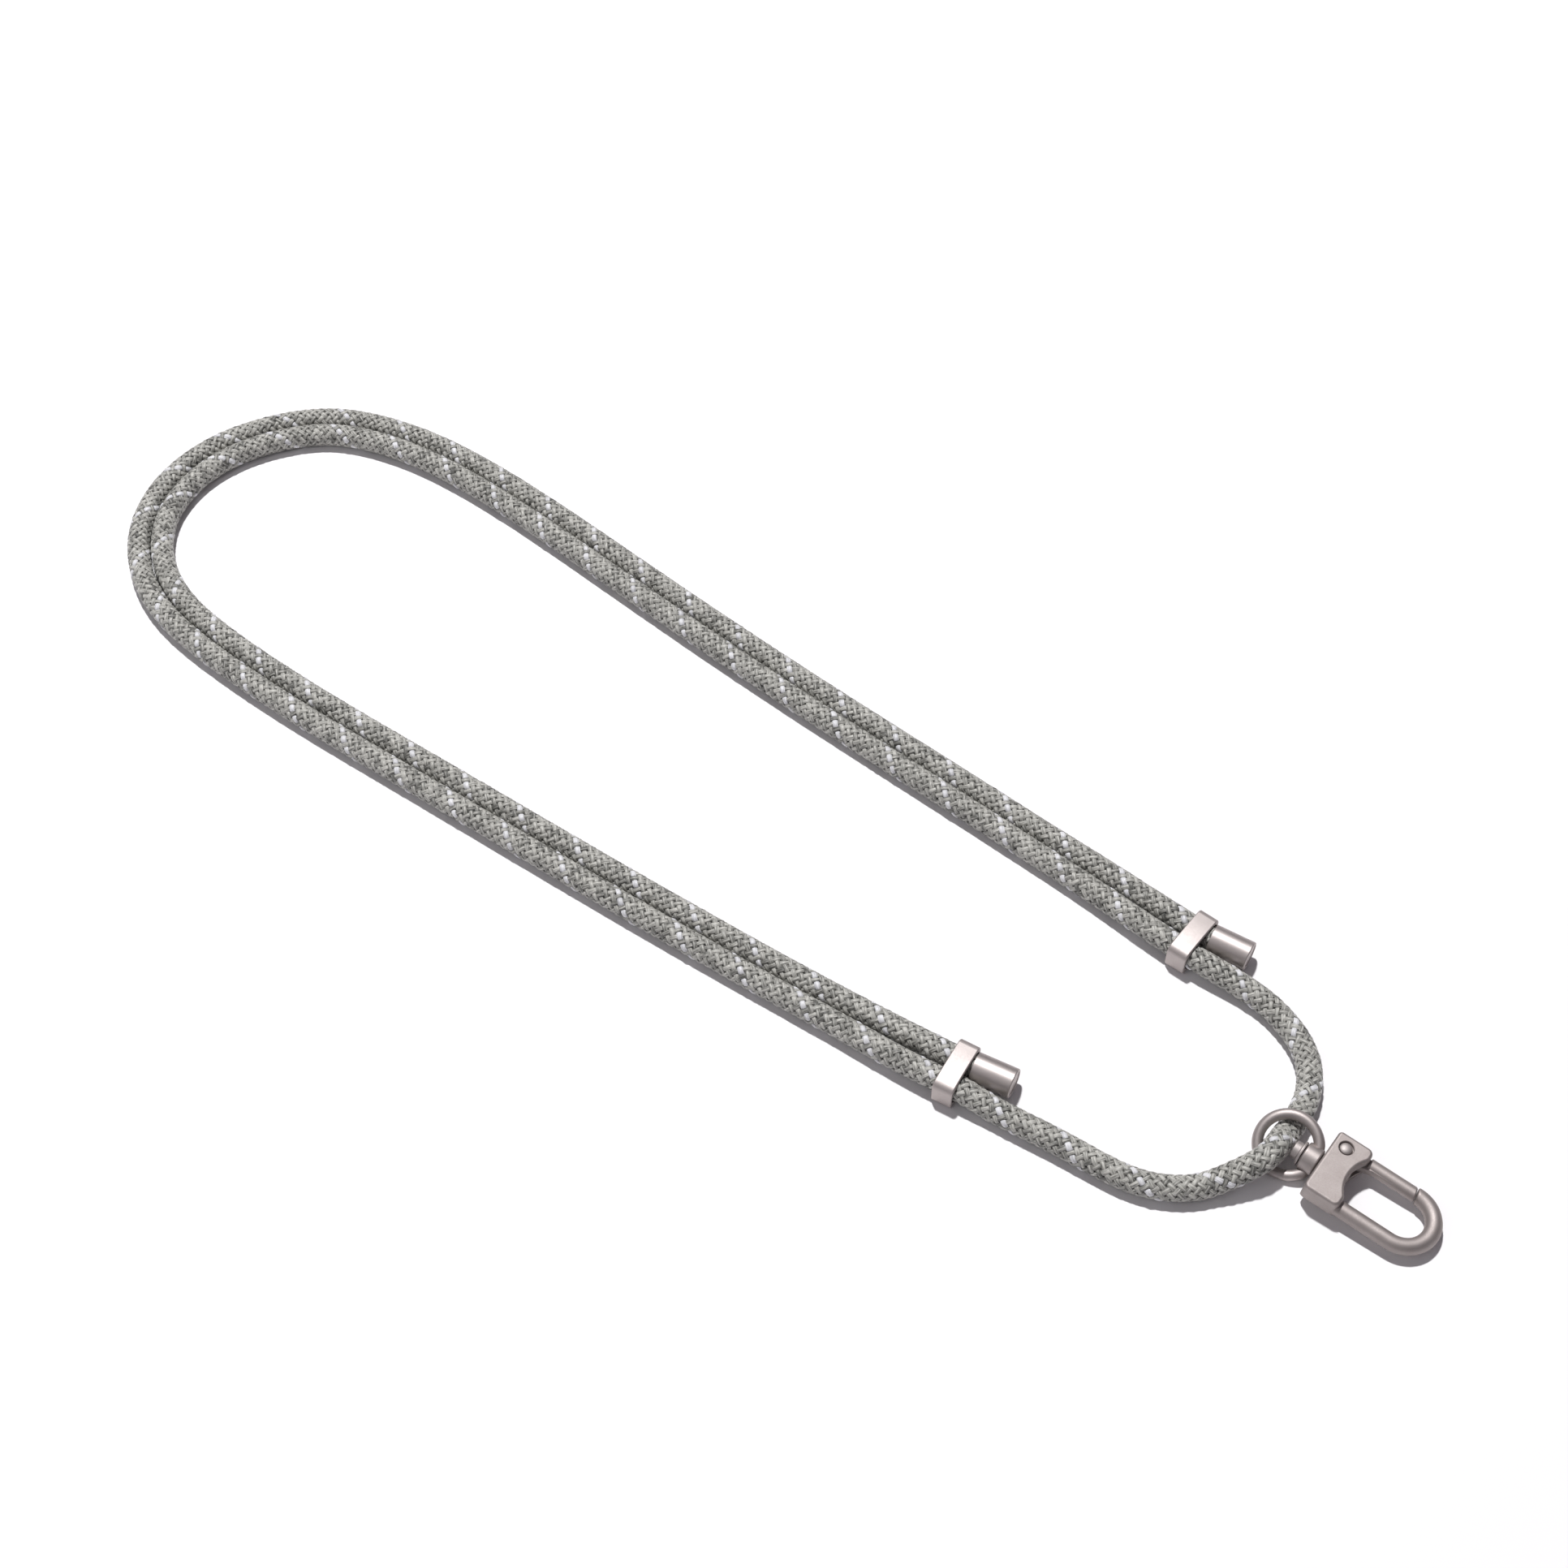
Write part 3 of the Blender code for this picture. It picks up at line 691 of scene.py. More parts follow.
@dataclass(frozen=True)
class Fittings:
    """Sizes that the rope, the sliders and the caps share, in metres."""

    rope_diameter: float = 0.0080
    fit: float = 0.0003
    hair: float = 0.00005
    slider_length: float = 0.0069
    slider_wall: float = 0.0010
    cap_length: float = 0.0134
    cap_wall: float = 0.0006
    cap_floor: float = 0.0011

    @property
    def rope_r(self) -> float:
        """Give the rope's radius."""
        return self.rope_diameter / 2

    @property
    def cap_r(self) -> float:
        """Give the cap's outside radius."""
        return self.rope_r + self.fit + self.cap_wall

    @property
    def spacing(self) -> float:
        """Give the distance between the two strands inside a slider."""
        return self.cap_r + self.rope_r + self.fit + 2 * self.hair

    @property
    def height(self) -> float:
        """Give the height of the strands' middle inside a slider."""
        return self.slider_wall + self.fit + self.rope_r

    def lay(self, obj: Solid, spot: np.ndarray, angle: float) -> None:
        """Turn a finished mesh about the vertical and move it to a spot at the strands' height."""
        spin = Matrix.Rotation(angle, 4, "Z")
        obj.data.transform(Matrix.Translation((spot[0], spot[1], self.height)) @ spin)

    def axes(self, slider: SliderPlace) -> tuple[np.ndarray, np.ndarray, np.ndarray]:
        """Give a slider's centre, its heading and the direction across it.

        Args:
            slider: the slider's place.

        Returns:
            Three flat vectors.
        """
        angle = math.radians(slider[2])
        ahead = np.array((math.cos(angle), math.sin(angle)))
        return np.array(slider[:2]), ahead, np.array((-ahead[1], ahead[0]))

    def cap_root(self, slider: SliderPlace) -> tuple[np.ndarray, float]:
        """Give the flat point where a cap's axis leaves its slider, and its heading in radians."""
        spot = self.in_slider(slider, self.slider_length / 2, 1)
        return spot[:2], math.radians(slider[2] + slider[3])

    def cap_start(self, slider: SliderPlace) -> float:
        """Give how far past its slider a turned cap begins."""
        return self.fit + self.cap_r * math.sin(math.radians(slider[3]))

    def in_cap(self, slider: SliderPlace, past: float) -> np.ndarray:
        """Give the rope's point in a cap, some way past the slider."""
        (x, y), angle = self.cap_root(slider)
        return np.array((x + past * math.cos(angle), y + past * math.sin(angle), self.height))

    def in_slider(self, slider: SliderPlace, along: float, side: int) -> np.ndarray:
        """Give the rope's point in a slider, on the cap's side (+1) or the other (-1)."""
        centre, ahead, across = self.axes(slider)
        return np.array((*(centre + ahead * along + across * side * self.spacing / 2), self.height))

    def rope_end(self, slider: SliderPlace) -> np.ndarray:
        """Give the rope's points from its end in a cap to the middle of the slider.

        Args:
            slider: the slider's place.

        Returns:
            Three points, one a row.
        """
        deep = self.cap_start(slider) + self.cap_length - self.cap_floor - self.fit
        spots = [self.in_cap(slider, past) for past in (deep, 0.0)]
        return np.array([*spots, self.in_slider(slider, 0.0, 1)])


@dataclass(frozen=True)
class RopeRoute:
    """The line that the rope follows, from the upper end cap to the lower one."""

    fittings: Fittings
    strand_gap: float = 0.0004
    strand_lead: float = 0.0035
    strand_ease: float = 0.045
    slider_lead: float = 0.0020
    upper_lead: float = 0.0030
    step: float = 0.030
    turn: float = 0.22
    ring_x: float = 0.0215
    low_side: Flat = (-0.0114754, 0.0086985)
    high_side: float = 0.0038754
    middle: tuple[Flat, ...] = (
        (-0.0640, 0.0441), (-0.0975, 0.0460), (-0.1435, 0.0480), (-0.2009, 0.0506),
        (-0.2585, 0.0544), (-0.3135, 0.0588), (-0.3593, 0.0607), (-0.3820, 0.0593),
        (-0.4012, 0.0553), (-0.4194, 0.0470), (-0.4338, 0.0318), (-0.4431, 0.0112),
        (-0.4441, -0.0087), (-0.4382, -0.0262), (-0.4295, -0.0376), (-0.4183, -0.0460),
        (-0.4033, -0.0524), (-0.3822, -0.0560), (-0.3616, -0.0571), (-0.3285, -0.0571),
        (-0.2937, -0.0558), (-0.2385, -0.0535), (-0.1885, -0.0513), (-0.1385, -0.0484),
        (-0.0980, -0.0455),
    )
    to_ring: tuple[Flat, ...] = (
        (-0.0545, -0.0461), (-0.0385, -0.0444), (-0.0223, -0.0429), (-0.0080, -0.0411),
        (0.0027, -0.0366), (0.0105, -0.0298),
    )
    onto_ring: tuple[Point, ...] = ((0.0062, 0.0115, 0.42), (0.0018, 0.0048, 0.86))
    from_ring: tuple[Flat, ...] = (
        (0.0208, 0.0124), (0.0185, 0.0196), (0.0134, 0.0272), (0.0039, 0.0336),
        (-0.0084, 0.0373),
    )

    def spaced(self, route: Sequence[Sequence[float]]) -> np.ndarray:
        """Choose points along a spline, closer together where it turns.

        Args:
            route: the spline's own points.

        Returns:
            The chosen points, one a row.
        """
        fine = spline(route)
        runs = np.diff(fine, axis=0)
        lengths = np.linalg.norm(runs, axis=1)
        ways = runs / lengths[:, None]
        turns = np.arccos(np.clip((ways[1:] * ways[:-1]).sum(axis=1), -1.0, 1.0))
        load = lengths / self.step
        load[1:] += turns / self.turn
        total = np.concatenate([[0.0], np.cumsum(load)])
        marks = np.linspace(0.0, total[-1], max(2, int(math.ceil(total[-1])) + 1))
        return read_off(marks, total, fine)

    def strand(self, side: int) -> np.ndarray:
        """Give one of the two strands beside the middle line.

        Args:
            side: +1 for the outer strand, -1 for the inner one.

        Returns:
            Its points from the upper slider to the lower one.
        """
        f = self.fittings
        ends = []
        for slider in (UPPER_SLIDER, LOWER_SLIDER):
            centre, ahead, _ = f.axes(slider)
            ends.append(centre - ahead * (f.slider_length / 2 + self.strand_lead))
        line = self.spaced([ends[0], *self.middle, ends[1]])
        ways = headings(line)
        gone = lengths_along(line)
        rise = np.maximum(0.0, 1.0 - np.minimum(gone, gone[-1] - gone) / self.strand_ease)
        rise = rise * rise * (3 - 2 * rise)
        on_table = f.rope_diameter + self.strand_gap
        apart = on_table + (f.spacing - on_table) * rise
        height = f.rope_r + (f.height - f.rope_r) * rise
        aside = np.column_stack([ways[:, 1], -ways[:, 0]]) * side
        return np.column_stack([line + aside * apart[:, None] / 2, height])

    def points(self) -> np.ndarray:
        """Give the rope's points, the same as the solid's own.

        Returns:
            The points in order, one a row.
        """
        f = self.fittings
        outer = self.strand(1)
        inner = self.strand(-1)
        lead = f.slider_length / 2 + self.slider_lead
        back = f.slider_length / 2 + self.upper_lead
        low_y, low_z = self.low_side
        loop = [outer[-1], *(f.in_slider(LOWER_SLIDER, along, -1) for along in (0.0, lead))]
        loop += [(x, y, f.rope_r) for x, y in self.to_ring]
        for short, before, rise in self.onto_ring:
            height = f.rope_r + (low_z - f.rope_r) * rise
            loop.append((self.ring_x - short, low_y - before, height))
        loop.append((self.ring_x, low_y, low_z))
        loop.append((self.ring_x, (low_y + self.high_side) / 2, (low_z + f.rope_r) / 2))
        loop.append((self.ring_x, self.high_side, f.rope_r))
        loop += [(x, y, f.rope_r) for x, y in self.from_ring]
        loop += [f.in_slider(UPPER_SLIDER, along, -1) for along in (back, 0.0)]
        loop.append(inner[0])
        single = self.spaced(loop)[1:-1]
        single[:, 2] = np.maximum(single[:, 2], f.rope_r)
        ends = [f.rope_end(slider) for slider in (UPPER_SLIDER, LOWER_SLIDER)]
        return np.vstack([ends[0], outer, single, inner, ends[1][::-1]])

    def centreline(self, step: float = 0.001) -> np.ndarray:
        """Give a fine, smooth line through the rope's points.

        Args:
            step: the distance between its points.

        Returns:
            Evenly spaced points, one a row.
        """
        fine = spline(self.points())
        fine[:, 2] = np.maximum(fine[:, 2], self.fittings.rope_r)
        gone = lengths_along(fine)
        return read_off(np.linspace(0.0, gone[-1], int(gone[-1] / step) + 1), gone, fine)


@dataclass
class BraidedRope:
    """The rope: a core coloured dark as painted shade, with a braid of sixteen strands, each over
    one and under one.
    """

    route: RopeRoute
    yarn: YarnFinish
    tracer: YarnFinish
    core: PaintedShadeCore
    lead: float = 0.0235
    family: int = 8
    crown: float = 0.00414
    core_radius: float = 0.00322
    yarn_width: float = 0.00203
    yarn_height: float = 0.00070
    wave: float = 0.00027
    taper: float = 0.06
    half_turn: float = math.radians(82)
    fullness: float = 0.85
    tracer_bulk: float = 1.16
    tracer_reach: float = 0.86
    tracer_taper: float = 0.26
    uneven_width: float = 0.05
    uneven_tilt: float = math.radians(2.2)
    uneven_lift: float = 0.000035
    # Mean and spread of each yarn's random tone. The painted crown highlight and the painted edge
    # and end shade are added to it.
    tone: Flat = (0.42, 0.21)
    painted_crown_and_edge_light: Flat = (0.82, 1.8)
    painted_end_dip_shade: float = 0.26
    tone_floor: float = 0.50
    table_gap: float = 0.00002
    profile: tuple[Flat, ...] = (
        (-0.98, -1.0), (-0.76, -0.45), (-0.56, 0.80), (0.0, 1.0),
        (0.56, 0.80), (0.76, -0.45), (0.98, -1.0),
    )
    across: int = 4
    runs: int = 4
    seed: int = 7

    @property
    def strands(self) -> int:
        """Give how many strands the braid has."""
        return 2 * self.family

    @property
    def along(self) -> int:
        """Give how many lengthwise steps a yarn has."""
        return len(self.profile) - 1

    def frames(self) -> Frames:
        """Give the rope's line with its up and side directions.

        Returns:
            Lengths along the rope, points, up directions and side directions.
        """
        line = self.route.centreline()
        ways = headings(line)
        up = np.array((0.0, 0.0, 1.0)) - ways * ways[:, 2:3]
        up /= np.linalg.norm(up, axis=1)[:, None]
        return lengths_along(line), line, up, np.cross(up, ways)

    def floats(self, length: float) -> dict[str, np.ndarray]:
        """Lay out every place where a strand lies on top.

        Args:
            length: the rope's length.

        Returns:
            For each: its place along the rope, its angle, its lean and whether it is the tracer.
        """
        pitch = self.lead / self.strands
        rows = int(length / pitch)
        row = np.repeat(np.arange(1, rows), self.family)
        column = np.tile(np.arange(self.family), rows - 1)
        lean = np.where(row % 2 == 0, 1.0, -1.0)
        angle = 2 * np.pi * (2 * column + row) / self.strands
        white = (lean < 0) & ((row + column) % self.family == 0)
        return {"at": row * pitch, "angle": angle, "lean": lean, "white": white}

    def float_faces(self) -> tuple[np.ndarray, np.ndarray]:
        """List the faces of one closed yarn: its crown, then its underside and its two ends.

        Returns:
            The faces' corners one after another, and how many corners each face has.
        """
        wide = self.across + 1
        last = self.along * wide
        faces = []
        for start in range(0, last, wide):
            for low in range(start, start + self.across):
                faces.append([low, low + wide, low + wide + 1, low + 1])
        for low in range(0, last, wide):
            faces.append([low, low + self.across, low + wide + self.across, low + wide])
        faces.append(list(range(wide)))
        faces.append([last + j for j in reversed(range(wide))])
        sizes = np.array([len(face) for face in faces])
        return np.array([corner for face in faces for corner in face]), sizes

    def build_run(
        self, name: str, spots: dict[str, np.ndarray], frames: Frames, rng: np.random.Generator
    ) -> Solid:
        """Make the crowned yarns of one run of the braid as one mesh.

        Args:
            name: the piece's name.
            spots: the places from floats that fall in this run.
            frames: the rope's line and directions.
            rng: the source of small differences.

        Returns:
            The mesh object.
        """
        count = len(spots["at"])
        white = spots["white"]
        middle_r = self.crown - self.yarn_height - self.wave
        mean_r = self.crown - self.yarn_height / 2
        girth = 2 * math.pi * mean_r
        pitch = math.hypot(self.lead, girth) / self.strands
        slope = math.atan2(girth, self.lead)
        steps, rises = np.array(self.profile).T
        phi = np.linspace(-1.0, 1.0, self.across + 1) * self.half_turn
        a, phi = (g.ravel()[None, :] for g in np.meshgrid(steps * pitch, phi, indexing="ij"))
        rise = np.repeat(rises, self.across + 1)[None, :] * self.wave
        bulk = np.where(white, self.tracer_bulk, 1.0)
        a = a * np.where(white, self.tracer_reach, 1.0)[:, None]
        taper = np.where(white, self.tracer_taper, self.taper)[:, None]
        width = self.yarn_width * (bulk * (1 + rng.normal(0, self.uneven_width, count)))[:, None]
        width = width * (1 - taper * (a / pitch) ** 2)
        c = width / 2 * np.sin(phi) / math.sin(self.half_turn)
        tilt = rng.normal(0, self.uneven_tilt, count)[:, None]
        a_turned = a * np.cos(tilt) - c * np.sin(tilt)
        c_turned = a * np.sin(tilt) + c * np.cos(tilt)
        lean = spots["lean"][:, None]
        s = spots["at"][:, None] + a_turned * math.cos(slope) - c_turned * math.sin(slope) * lean
        theta = a_turned * math.sin(slope) * lean + c_turned * math.cos(slope)
        theta = spots["angle"][:, None] + theta / mean_r
        lift = rng.normal(0, self.uneven_lift, count)[:, None]
        radius = middle_r + rise + lift
        radius = radius + self.yarn_height * np.cos(phi) ** self.fullness * bulk[:, None]
        gone = frames[0]
        s = np.clip(s, 0.0, gone[-1])
        base, upward, sideways = (read_off(s, gone, table) for table in frames[1:])
        spoke = np.cos(theta)[..., None] * upward + np.sin(theta)[..., None] * sideways
        verts = base + radius[..., None] * spoke
        verts[..., 2] = np.maximum(verts[..., 2], self.table_gap)
        loops, sizes = self.float_faces()
        per = (self.along + 1) * (self.across + 1)
        order = np.arange(count)[:, None]
        corners = (loops[None] + order * per).reshape(-1).astype(np.int32)
        starts = np.concatenate([[0], np.cumsum(sizes)[:-1]])[None] + order * len(loops)
        mesh = bpy.data.meshes.new(name)
        mesh.vertices.add(count * per)
        mesh.vertices.foreach_set("co", verts.reshape(-1))
        mesh.loops.add(len(corners))
        mesh.loops.foreach_set("vertex_index", corners)
        faces = mesh.polygons
        faces.add(count * len(sizes))
        faces.foreach_set("loop_start", starts.reshape(-1).astype(np.int32))
        faces.foreach_set("material_index", np.repeat(white, len(sizes)).astype(np.int32))
        crowned = np.arange(len(sizes)) < self.along * self.across
        faces.foreach_set("use_smooth", np.tile(crowned, count))
        shift = rng.uniform(0, 400, (count, 1))
        flat = np.stack([a * 1000 + shift, c * 1000 + shift * 0.37], axis=-1).reshape(-1, 2)
        layer = mesh.uv_layers.new(name="yarn")
        layer.uv.foreach_set("vector", flat[corners].astype(np.float32).reshape(-1))
        # Painted light: each yarn is coloured lighter on its crown and darker towards its edges and
        # where it dips at its ends. This is added to its random tone.
        bright, power = self.painted_crown_and_edge_light
        painted_light = bright * np.cos(phi) ** power + self.painted_end_dip_shade * rise / self.wave
        tone_and_painted_light_values = rng.normal(*self.tone, count)[:, None] + painted_light - self.tone_floor
        tone = mesh.attributes.new("tone", "FLOAT", "POINT")
        tone.data.foreach_set("value", np.clip(tone_and_painted_light_values, 0, 1).reshape(-1).astype(np.float32))
        mesh.update(calc_edges=True)
        mesh.validate()
        obj = bpy.data.objects.new(name, mesh)
        bpy.context.collection.objects.link(obj)
        return obj

    def build_core(self, line: np.ndarray) -> Solid:
        """Make the core as a round curve along every third point of the rope's line.

        Args:
            line: the rope's line.

        Returns:
            The curve object.
        """
        curve = bpy.data.curves.new("rope_core", "CURVE")
        curve.dimensions = "3D"
        curve.bevel_depth = self.core_radius
        curve.bevel_resolution = 3
        curve.use_fill_caps = True
        run = curve.splines.new("POLY")
        picked = line[::3]
        run.points.add(len(picked) - 1)
        run.points.foreach_set("co", np.column_stack([picked, np.ones(len(picked))]).ravel())
        core = bpy.data.objects.new("rope_core", curve)
        bpy.context.collection.objects.link(core)
        curve.materials.append(self.core.material())
        return core

    def build(self) -> Solid:
        """Returns:
            The core.
        """
        frames = self.frames()
        gone, line = frames[:2]
        length = float(gone[-1])
        core = self.build_core(line)
        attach(core, Body.STRAP.value)
        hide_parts("rope")
        yarns = (self.yarn.material(), self.tracer.material())
        spots = self.floats(length)
        rng = np.random.default_rng(self.seed)
        limits = np.linspace(0.0, length, self.runs + 1)
        for number, (low, high) in enumerate(zip(limits[:-1], limits[1:]), start=1):
            chosen = (spots["at"] >= low) & (spots["at"] < high)
            part = {key: value[chosen] for key, value in spots.items()}
            braid = self.build_run(f"rope_braid_{number}", part, frames, rng)
            for yarn in yarns:
                braid.data.materials.append(yarn)
            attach(braid, Body.STRAP.value)
            LOG.info("%s: %d yarns", braid.name, int(chosen.sum()))
        LOG.info("rope: %.3f m long", length)
        return core


@dataclass(frozen=True)
class Slider:
    """A short metal sleeve round two strands of the rope."""

    name: str
    node: str
    place: SliderPlace
    fittings: Fittings
    corner: float = 0.0023
    foot_corner: float = 0.0020
    mouth_corner: float = 0.0036
    edge: float = 0.00045
    mouth_edge: float = 0.00022
    crown: float = 0.00062
    crown_steps: int = 8

    def build(self, finish: Material) -> Solid:
        """Model and dress the slider: a sleeve whose top is arched from side to side.

        Args:
            finish: its metal.

        Returns:
            The piece.
        """
        f = self.fittings
        half = f.slider_length / 2
        tall = f.rope_r + f.fit + f.slider_wall
        wide = f.spacing / 2 + tall
        outline = [(-wide, -tall), (wide, -tall)]
        for k in range(self.crown_steps + 1):
            y = wide * (1 - 2 * k / self.crown_steps)
            outline.append((y, tall - self.crown * (y / wide) ** 2))
        feet = [((side * wide, -tall), self.foot_corner) for side in (-1, 1)]
        shoulders = [((side * wide, tall - self.crown), self.corner) for side in (-1, 1)]
        piece = Workpiece.prism(self.name, outline, half - self.edge, feet + shoulders)
        piece.crown_plate(self.edge, 4)
        sleeve = piece.close()
        y = wide - f.slider_wall
        z = tall - f.slider_wall
        mouth = [(-y, -z), (y, -z), (y, z), (-y, z)]
        rounded = [(corner, self.mouth_corner) for corner in mouth]
        cutter = Workpiece.prism("mouth", mouth, 2 * half, rounded).close()
        combine(sleeve, cutter, Join.CUT)

        def on_mouth(edge: bmesh.types.BMEdge) -> bool:
            """Tell whether an edge lies on the rim of the opening."""
            return all(
                abs(abs(p.z) - half) < TOUCH and abs(p.x) < y + TOUCH and abs(p.y) < z + TOUCH
                for p in (v.co for v in edge.verts)
            )

        piece = Workpiece(self.name)
        piece.round_lines(on_mouth, self.mouth_edge, 3)
        obj = piece.close()
        obj.data.transform(Matrix(((0, 0, 1, 0), (1, 0, 0, 0), (0, 1, 0, 0), (0, 0, 0, 1))))
        f.lay(obj, self.place[:2], math.radians(self.place[2]))
        return dress(obj, finish, Body.STRAP, self.node, 32.0)


@dataclass(frozen=True)
class EndCap:
    """A turned metal cup over one end of the rope, with a plain ringed end face."""

    name: str
    node: str
    place: SliderPlace
    fittings: Fittings
    edge: float = 0.0004
    bore_edge: float = 0.0001
    lip: float = 0.00015
    face_rim: float = 0.0007
    face_depth: float = 0.0003
    face_ease: float = 0.00006
    grooves: Flat = (0.0029, 0.0016)
    groove_half: float = 0.00016
    groove_depth: float = 0.00012

    def build(self, finish: Material) -> Solid:
        """Model and dress the cap.

        Args:
            finish: its metal.

        Returns:
            The piece.
        """
        f = self.fittings
        start = f.cap_start(self.place)
        end = start + f.cap_length
        floor = end - f.cap_floor
        bore = f.rope_r + f.fit
        outer = f.cap_r
        rim = outer - self.face_rim
        face = end - self.face_depth
        profile = [(floor, 0.0), (floor, bore), (start + self.bore_edge, bore)]
        profile += [(start, bore + self.bore_edge), (start, outer - self.lip)]
        profile += [(start + self.lip, outer), *rounded_corner(end, outer, self.edge, False)]
        profile += [(end, rim), (end - self.bore_edge, rim - 2 * self.face_ease)]
        profile.append((face, rim - 3 * self.face_ease))
        for radius in self.grooves:
            profile += [(face, radius + self.groove_half), (face - self.groove_depth, radius)]
            profile.append((face, radius - self.groove_half))
        profile.append((face, 0.0))
        obj = Workpiece.turned(self.name, profile, 72)
        f.lay(obj, *f.cap_root(self.place))
        return dress(obj, finish, Body.STRAP, self.node, 28.0)


@dataclass(frozen=True)
class ClaspDatum:
    """Sizes and places that the clasp's pieces share; x runs from the ring's centre."""

    centre: Flat = (0.0240, -0.0038)
    axis_z: float = 0.006336
    lean: float = 2.779
    fit: float = 0.0003
    hair: float = 0.00005
    past: float = 0.001
    overlap: float = 0.004
    ring_bore: float = 0.0150
    wire: float = 0.0034
    ring_flat: float = 0.0007
    ring_tilt: float = 29.8996
    rope_in_ring: float = -0.0025
    rope_r: float = 0.0040
    boss_diameter: float = 0.0090
    boss_length: float = 0.0050
    pin_diameter: float = 0.0034
    pin_depth: float = 0.0032
    body_length: float = 0.0118
    body_width: float = 0.0226
    body_thickness: float = 0.0104
    bend_radius: float = 0.0090
    hook_reach: float = 0.0169
    pivot_setback: float = 0.0075
    pivot_offset: float = 0.0069
    rivet_head: float = 0.0040
    rivet_shank: float = 0.0022
    rivet_recess: float = 0.0012
    nose_slant: float = 12.0
    nose_setback: float = 0.0006
    gate_tongue: float = 0.0030
    gate_eye: float = 0.0052
    gate_bar: float = 0.0046
    hook_bar: float = 0.0052

    @property
    def ring_r(self) -> float:
        """Give the radius of the ring's wire line."""
        return (self.ring_bore + self.wire) / 2

    @property
    def flat_x(self) -> float:
        """Give where the flattened side of the ring lies."""
        return self.ring_r - self.ring_flat

    @property
    def boss_end(self) -> float:
        """Give the boss's face towards the body."""
        return self.flat_x + self.wire / 2 + 2 * self.hair

    @property
    def boss_start(self) -> float:
        """Give the boss's face towards the rope."""
        return self.boss_end - self.boss_length

    @property
    def body_start(self) -> float:
        """Give the body's back face."""
        return self.boss_end + self.fit

    @property
    def body_end(self) -> float:
        """Give the body's front face."""
        return self.body_start + self.body_length

    @property
    def bend_x(self) -> float:
        """Give the centre of the hook's bend."""
        return self.body_end + self.hook_reach

    @property
    def pivot_x(self) -> float:
        """Give the gate's pivot."""
        return self.body_end - self.pivot_setback

    def upright(self, obj: Solid) -> None:
        """Stand a mesh that was turned along X upright at the gate's pivot."""
        spot = Matrix.Translation((self.pivot_x, self.pivot_offset, 0.0))
        obj.data.transform(spot @ Matrix.Rotation(-math.pi / 2, 4, "Y"))

    def bore(self, target: Solid, low: float, high: float) -> None:
        """Drill the pin's hole along X into a solid."""
        drill = Workpiece.rod("bore", low, high, self.pin_diameter / 2 + self.fit)
        combine(target, drill, Join.CUT)

    def seat(self, obj: Solid) -> None:
        """Lean a finished mesh down and move it from the ring's centre to where the clasp lies."""
        lean = Matrix.Rotation(math.radians(self.lean), 4, "Y")
        obj.data.transform(Matrix.Translation((*self.centre, self.axis_z)) @ lean)


@dataclass(frozen=True)
class SwivelRing:
    """The tilted ring that the rope goes through, with the boss that the pin turns in."""

    datum: ClaspDatum
    boss_edge: float = 0.0006
    facets: int = 120
    flat_facets: int = 16

    def build(self, finish: Material) -> Solid:
        """Model and dress the ring.

        Args:
            finish: its metal.

        Returns:
            The piece.
        """
        d = self.datum
        clear_selection()
        bpy.ops.mesh.primitive_torus_add(
            major_radius=d.ring_r, minor_radius=d.wire / 2,
            major_segments=self.facets, minor_segments=28, location=(0.0, 0.0, 0.0),
        )
        piece = Workpiece("ring_casting")
        for k in range(-self.flat_facets, self.flat_facets + 1):
            angle = 2 * math.pi * k / self.facets
            over = d.ring_r * math.cos(angle) - d.flat_x + d.ring_flat
            if over > 0:
                piece.pick(
                    Part.POINTS,
                    lambda v: v.co.x > 0 and abs(math.atan2(v.co.y, v.co.x) - angle) < 0.01,
                )
                shift = -over * over / (4 * d.ring_flat)
                bpy.ops.transform.translate(value=(shift, 0.0, 0.0))
        ring = piece.close()
        ring.data.transform(Matrix.Rotation(math.radians(d.ring_tilt), 4, "X"))
        half = d.boss_diameter / 2
        profile = [(d.boss_start, 0.0)]
        profile += rounded_corner(d.boss_start, half, self.boss_edge, True)
        profile += rounded_corner(d.boss_end, half, self.boss_edge, False)
        profile.append((d.boss_end, 0.0))
        combine(ring, Workpiece.turned("boss", profile, 64), Join.ADD)
        d.bore(ring, d.boss_start - d.past, d.boss_end + d.past)
        d.seat(ring)
        return dress(ring, finish, Body.STRAP, "swivel_ring", 40.0)


@dataclass(frozen=True)
class SwivelPin:
    """The pin that holds the ring's boss to the clasp body."""

    datum: ClaspDatum
    head_diameter: float = 0.0056
    flange_diameter: float = 0.0078
    flange: float = 0.0008
    head_edge: float = 0.0004
    flange_edge: float = 0.00022
    throat: float = 0.0003

    def build(self, finish: Material) -> Solid:
        """Model and dress the pin.

        Args:
            finish: its metal.

        Returns:
            The piece.
        """
        d = self.datum
        end = d.boss_start - d.fit
        start = end - self.flange
        head_start = d.rope_in_ring + d.rope_r + d.fit + d.hair
        head_r = self.head_diameter / 2
        flange_r = self.flange_diameter / 2
        shank_r = d.pin_diameter / 2
        tip = d.body_start + d.pin_depth
        edge = self.flange_edge
        bevel = 0.3 * edge
        profile = [(head_start, 0.0), *rounded_corner(head_start, head_r, self.head_edge, True)]
        profile += [(start - self.throat, head_r), (start, head_r + self.throat)]
        profile += [(start, flange_r - edge), (start + bevel, flange_r - bevel)]
        profile += [(start + edge, flange_r), (end - edge, flange_r)]
        profile += [(end - bevel, flange_r - bevel), (end, flange_r - edge)]
        profile += [(end, shank_r), (tip, shank_r), (tip, 0.0)]
        obj = Workpiece.turned("pin_turning", profile, 56)
        d.seat(obj)
        return dress(obj, finish, Body.HOOK, "swivel_pin", 30.0)


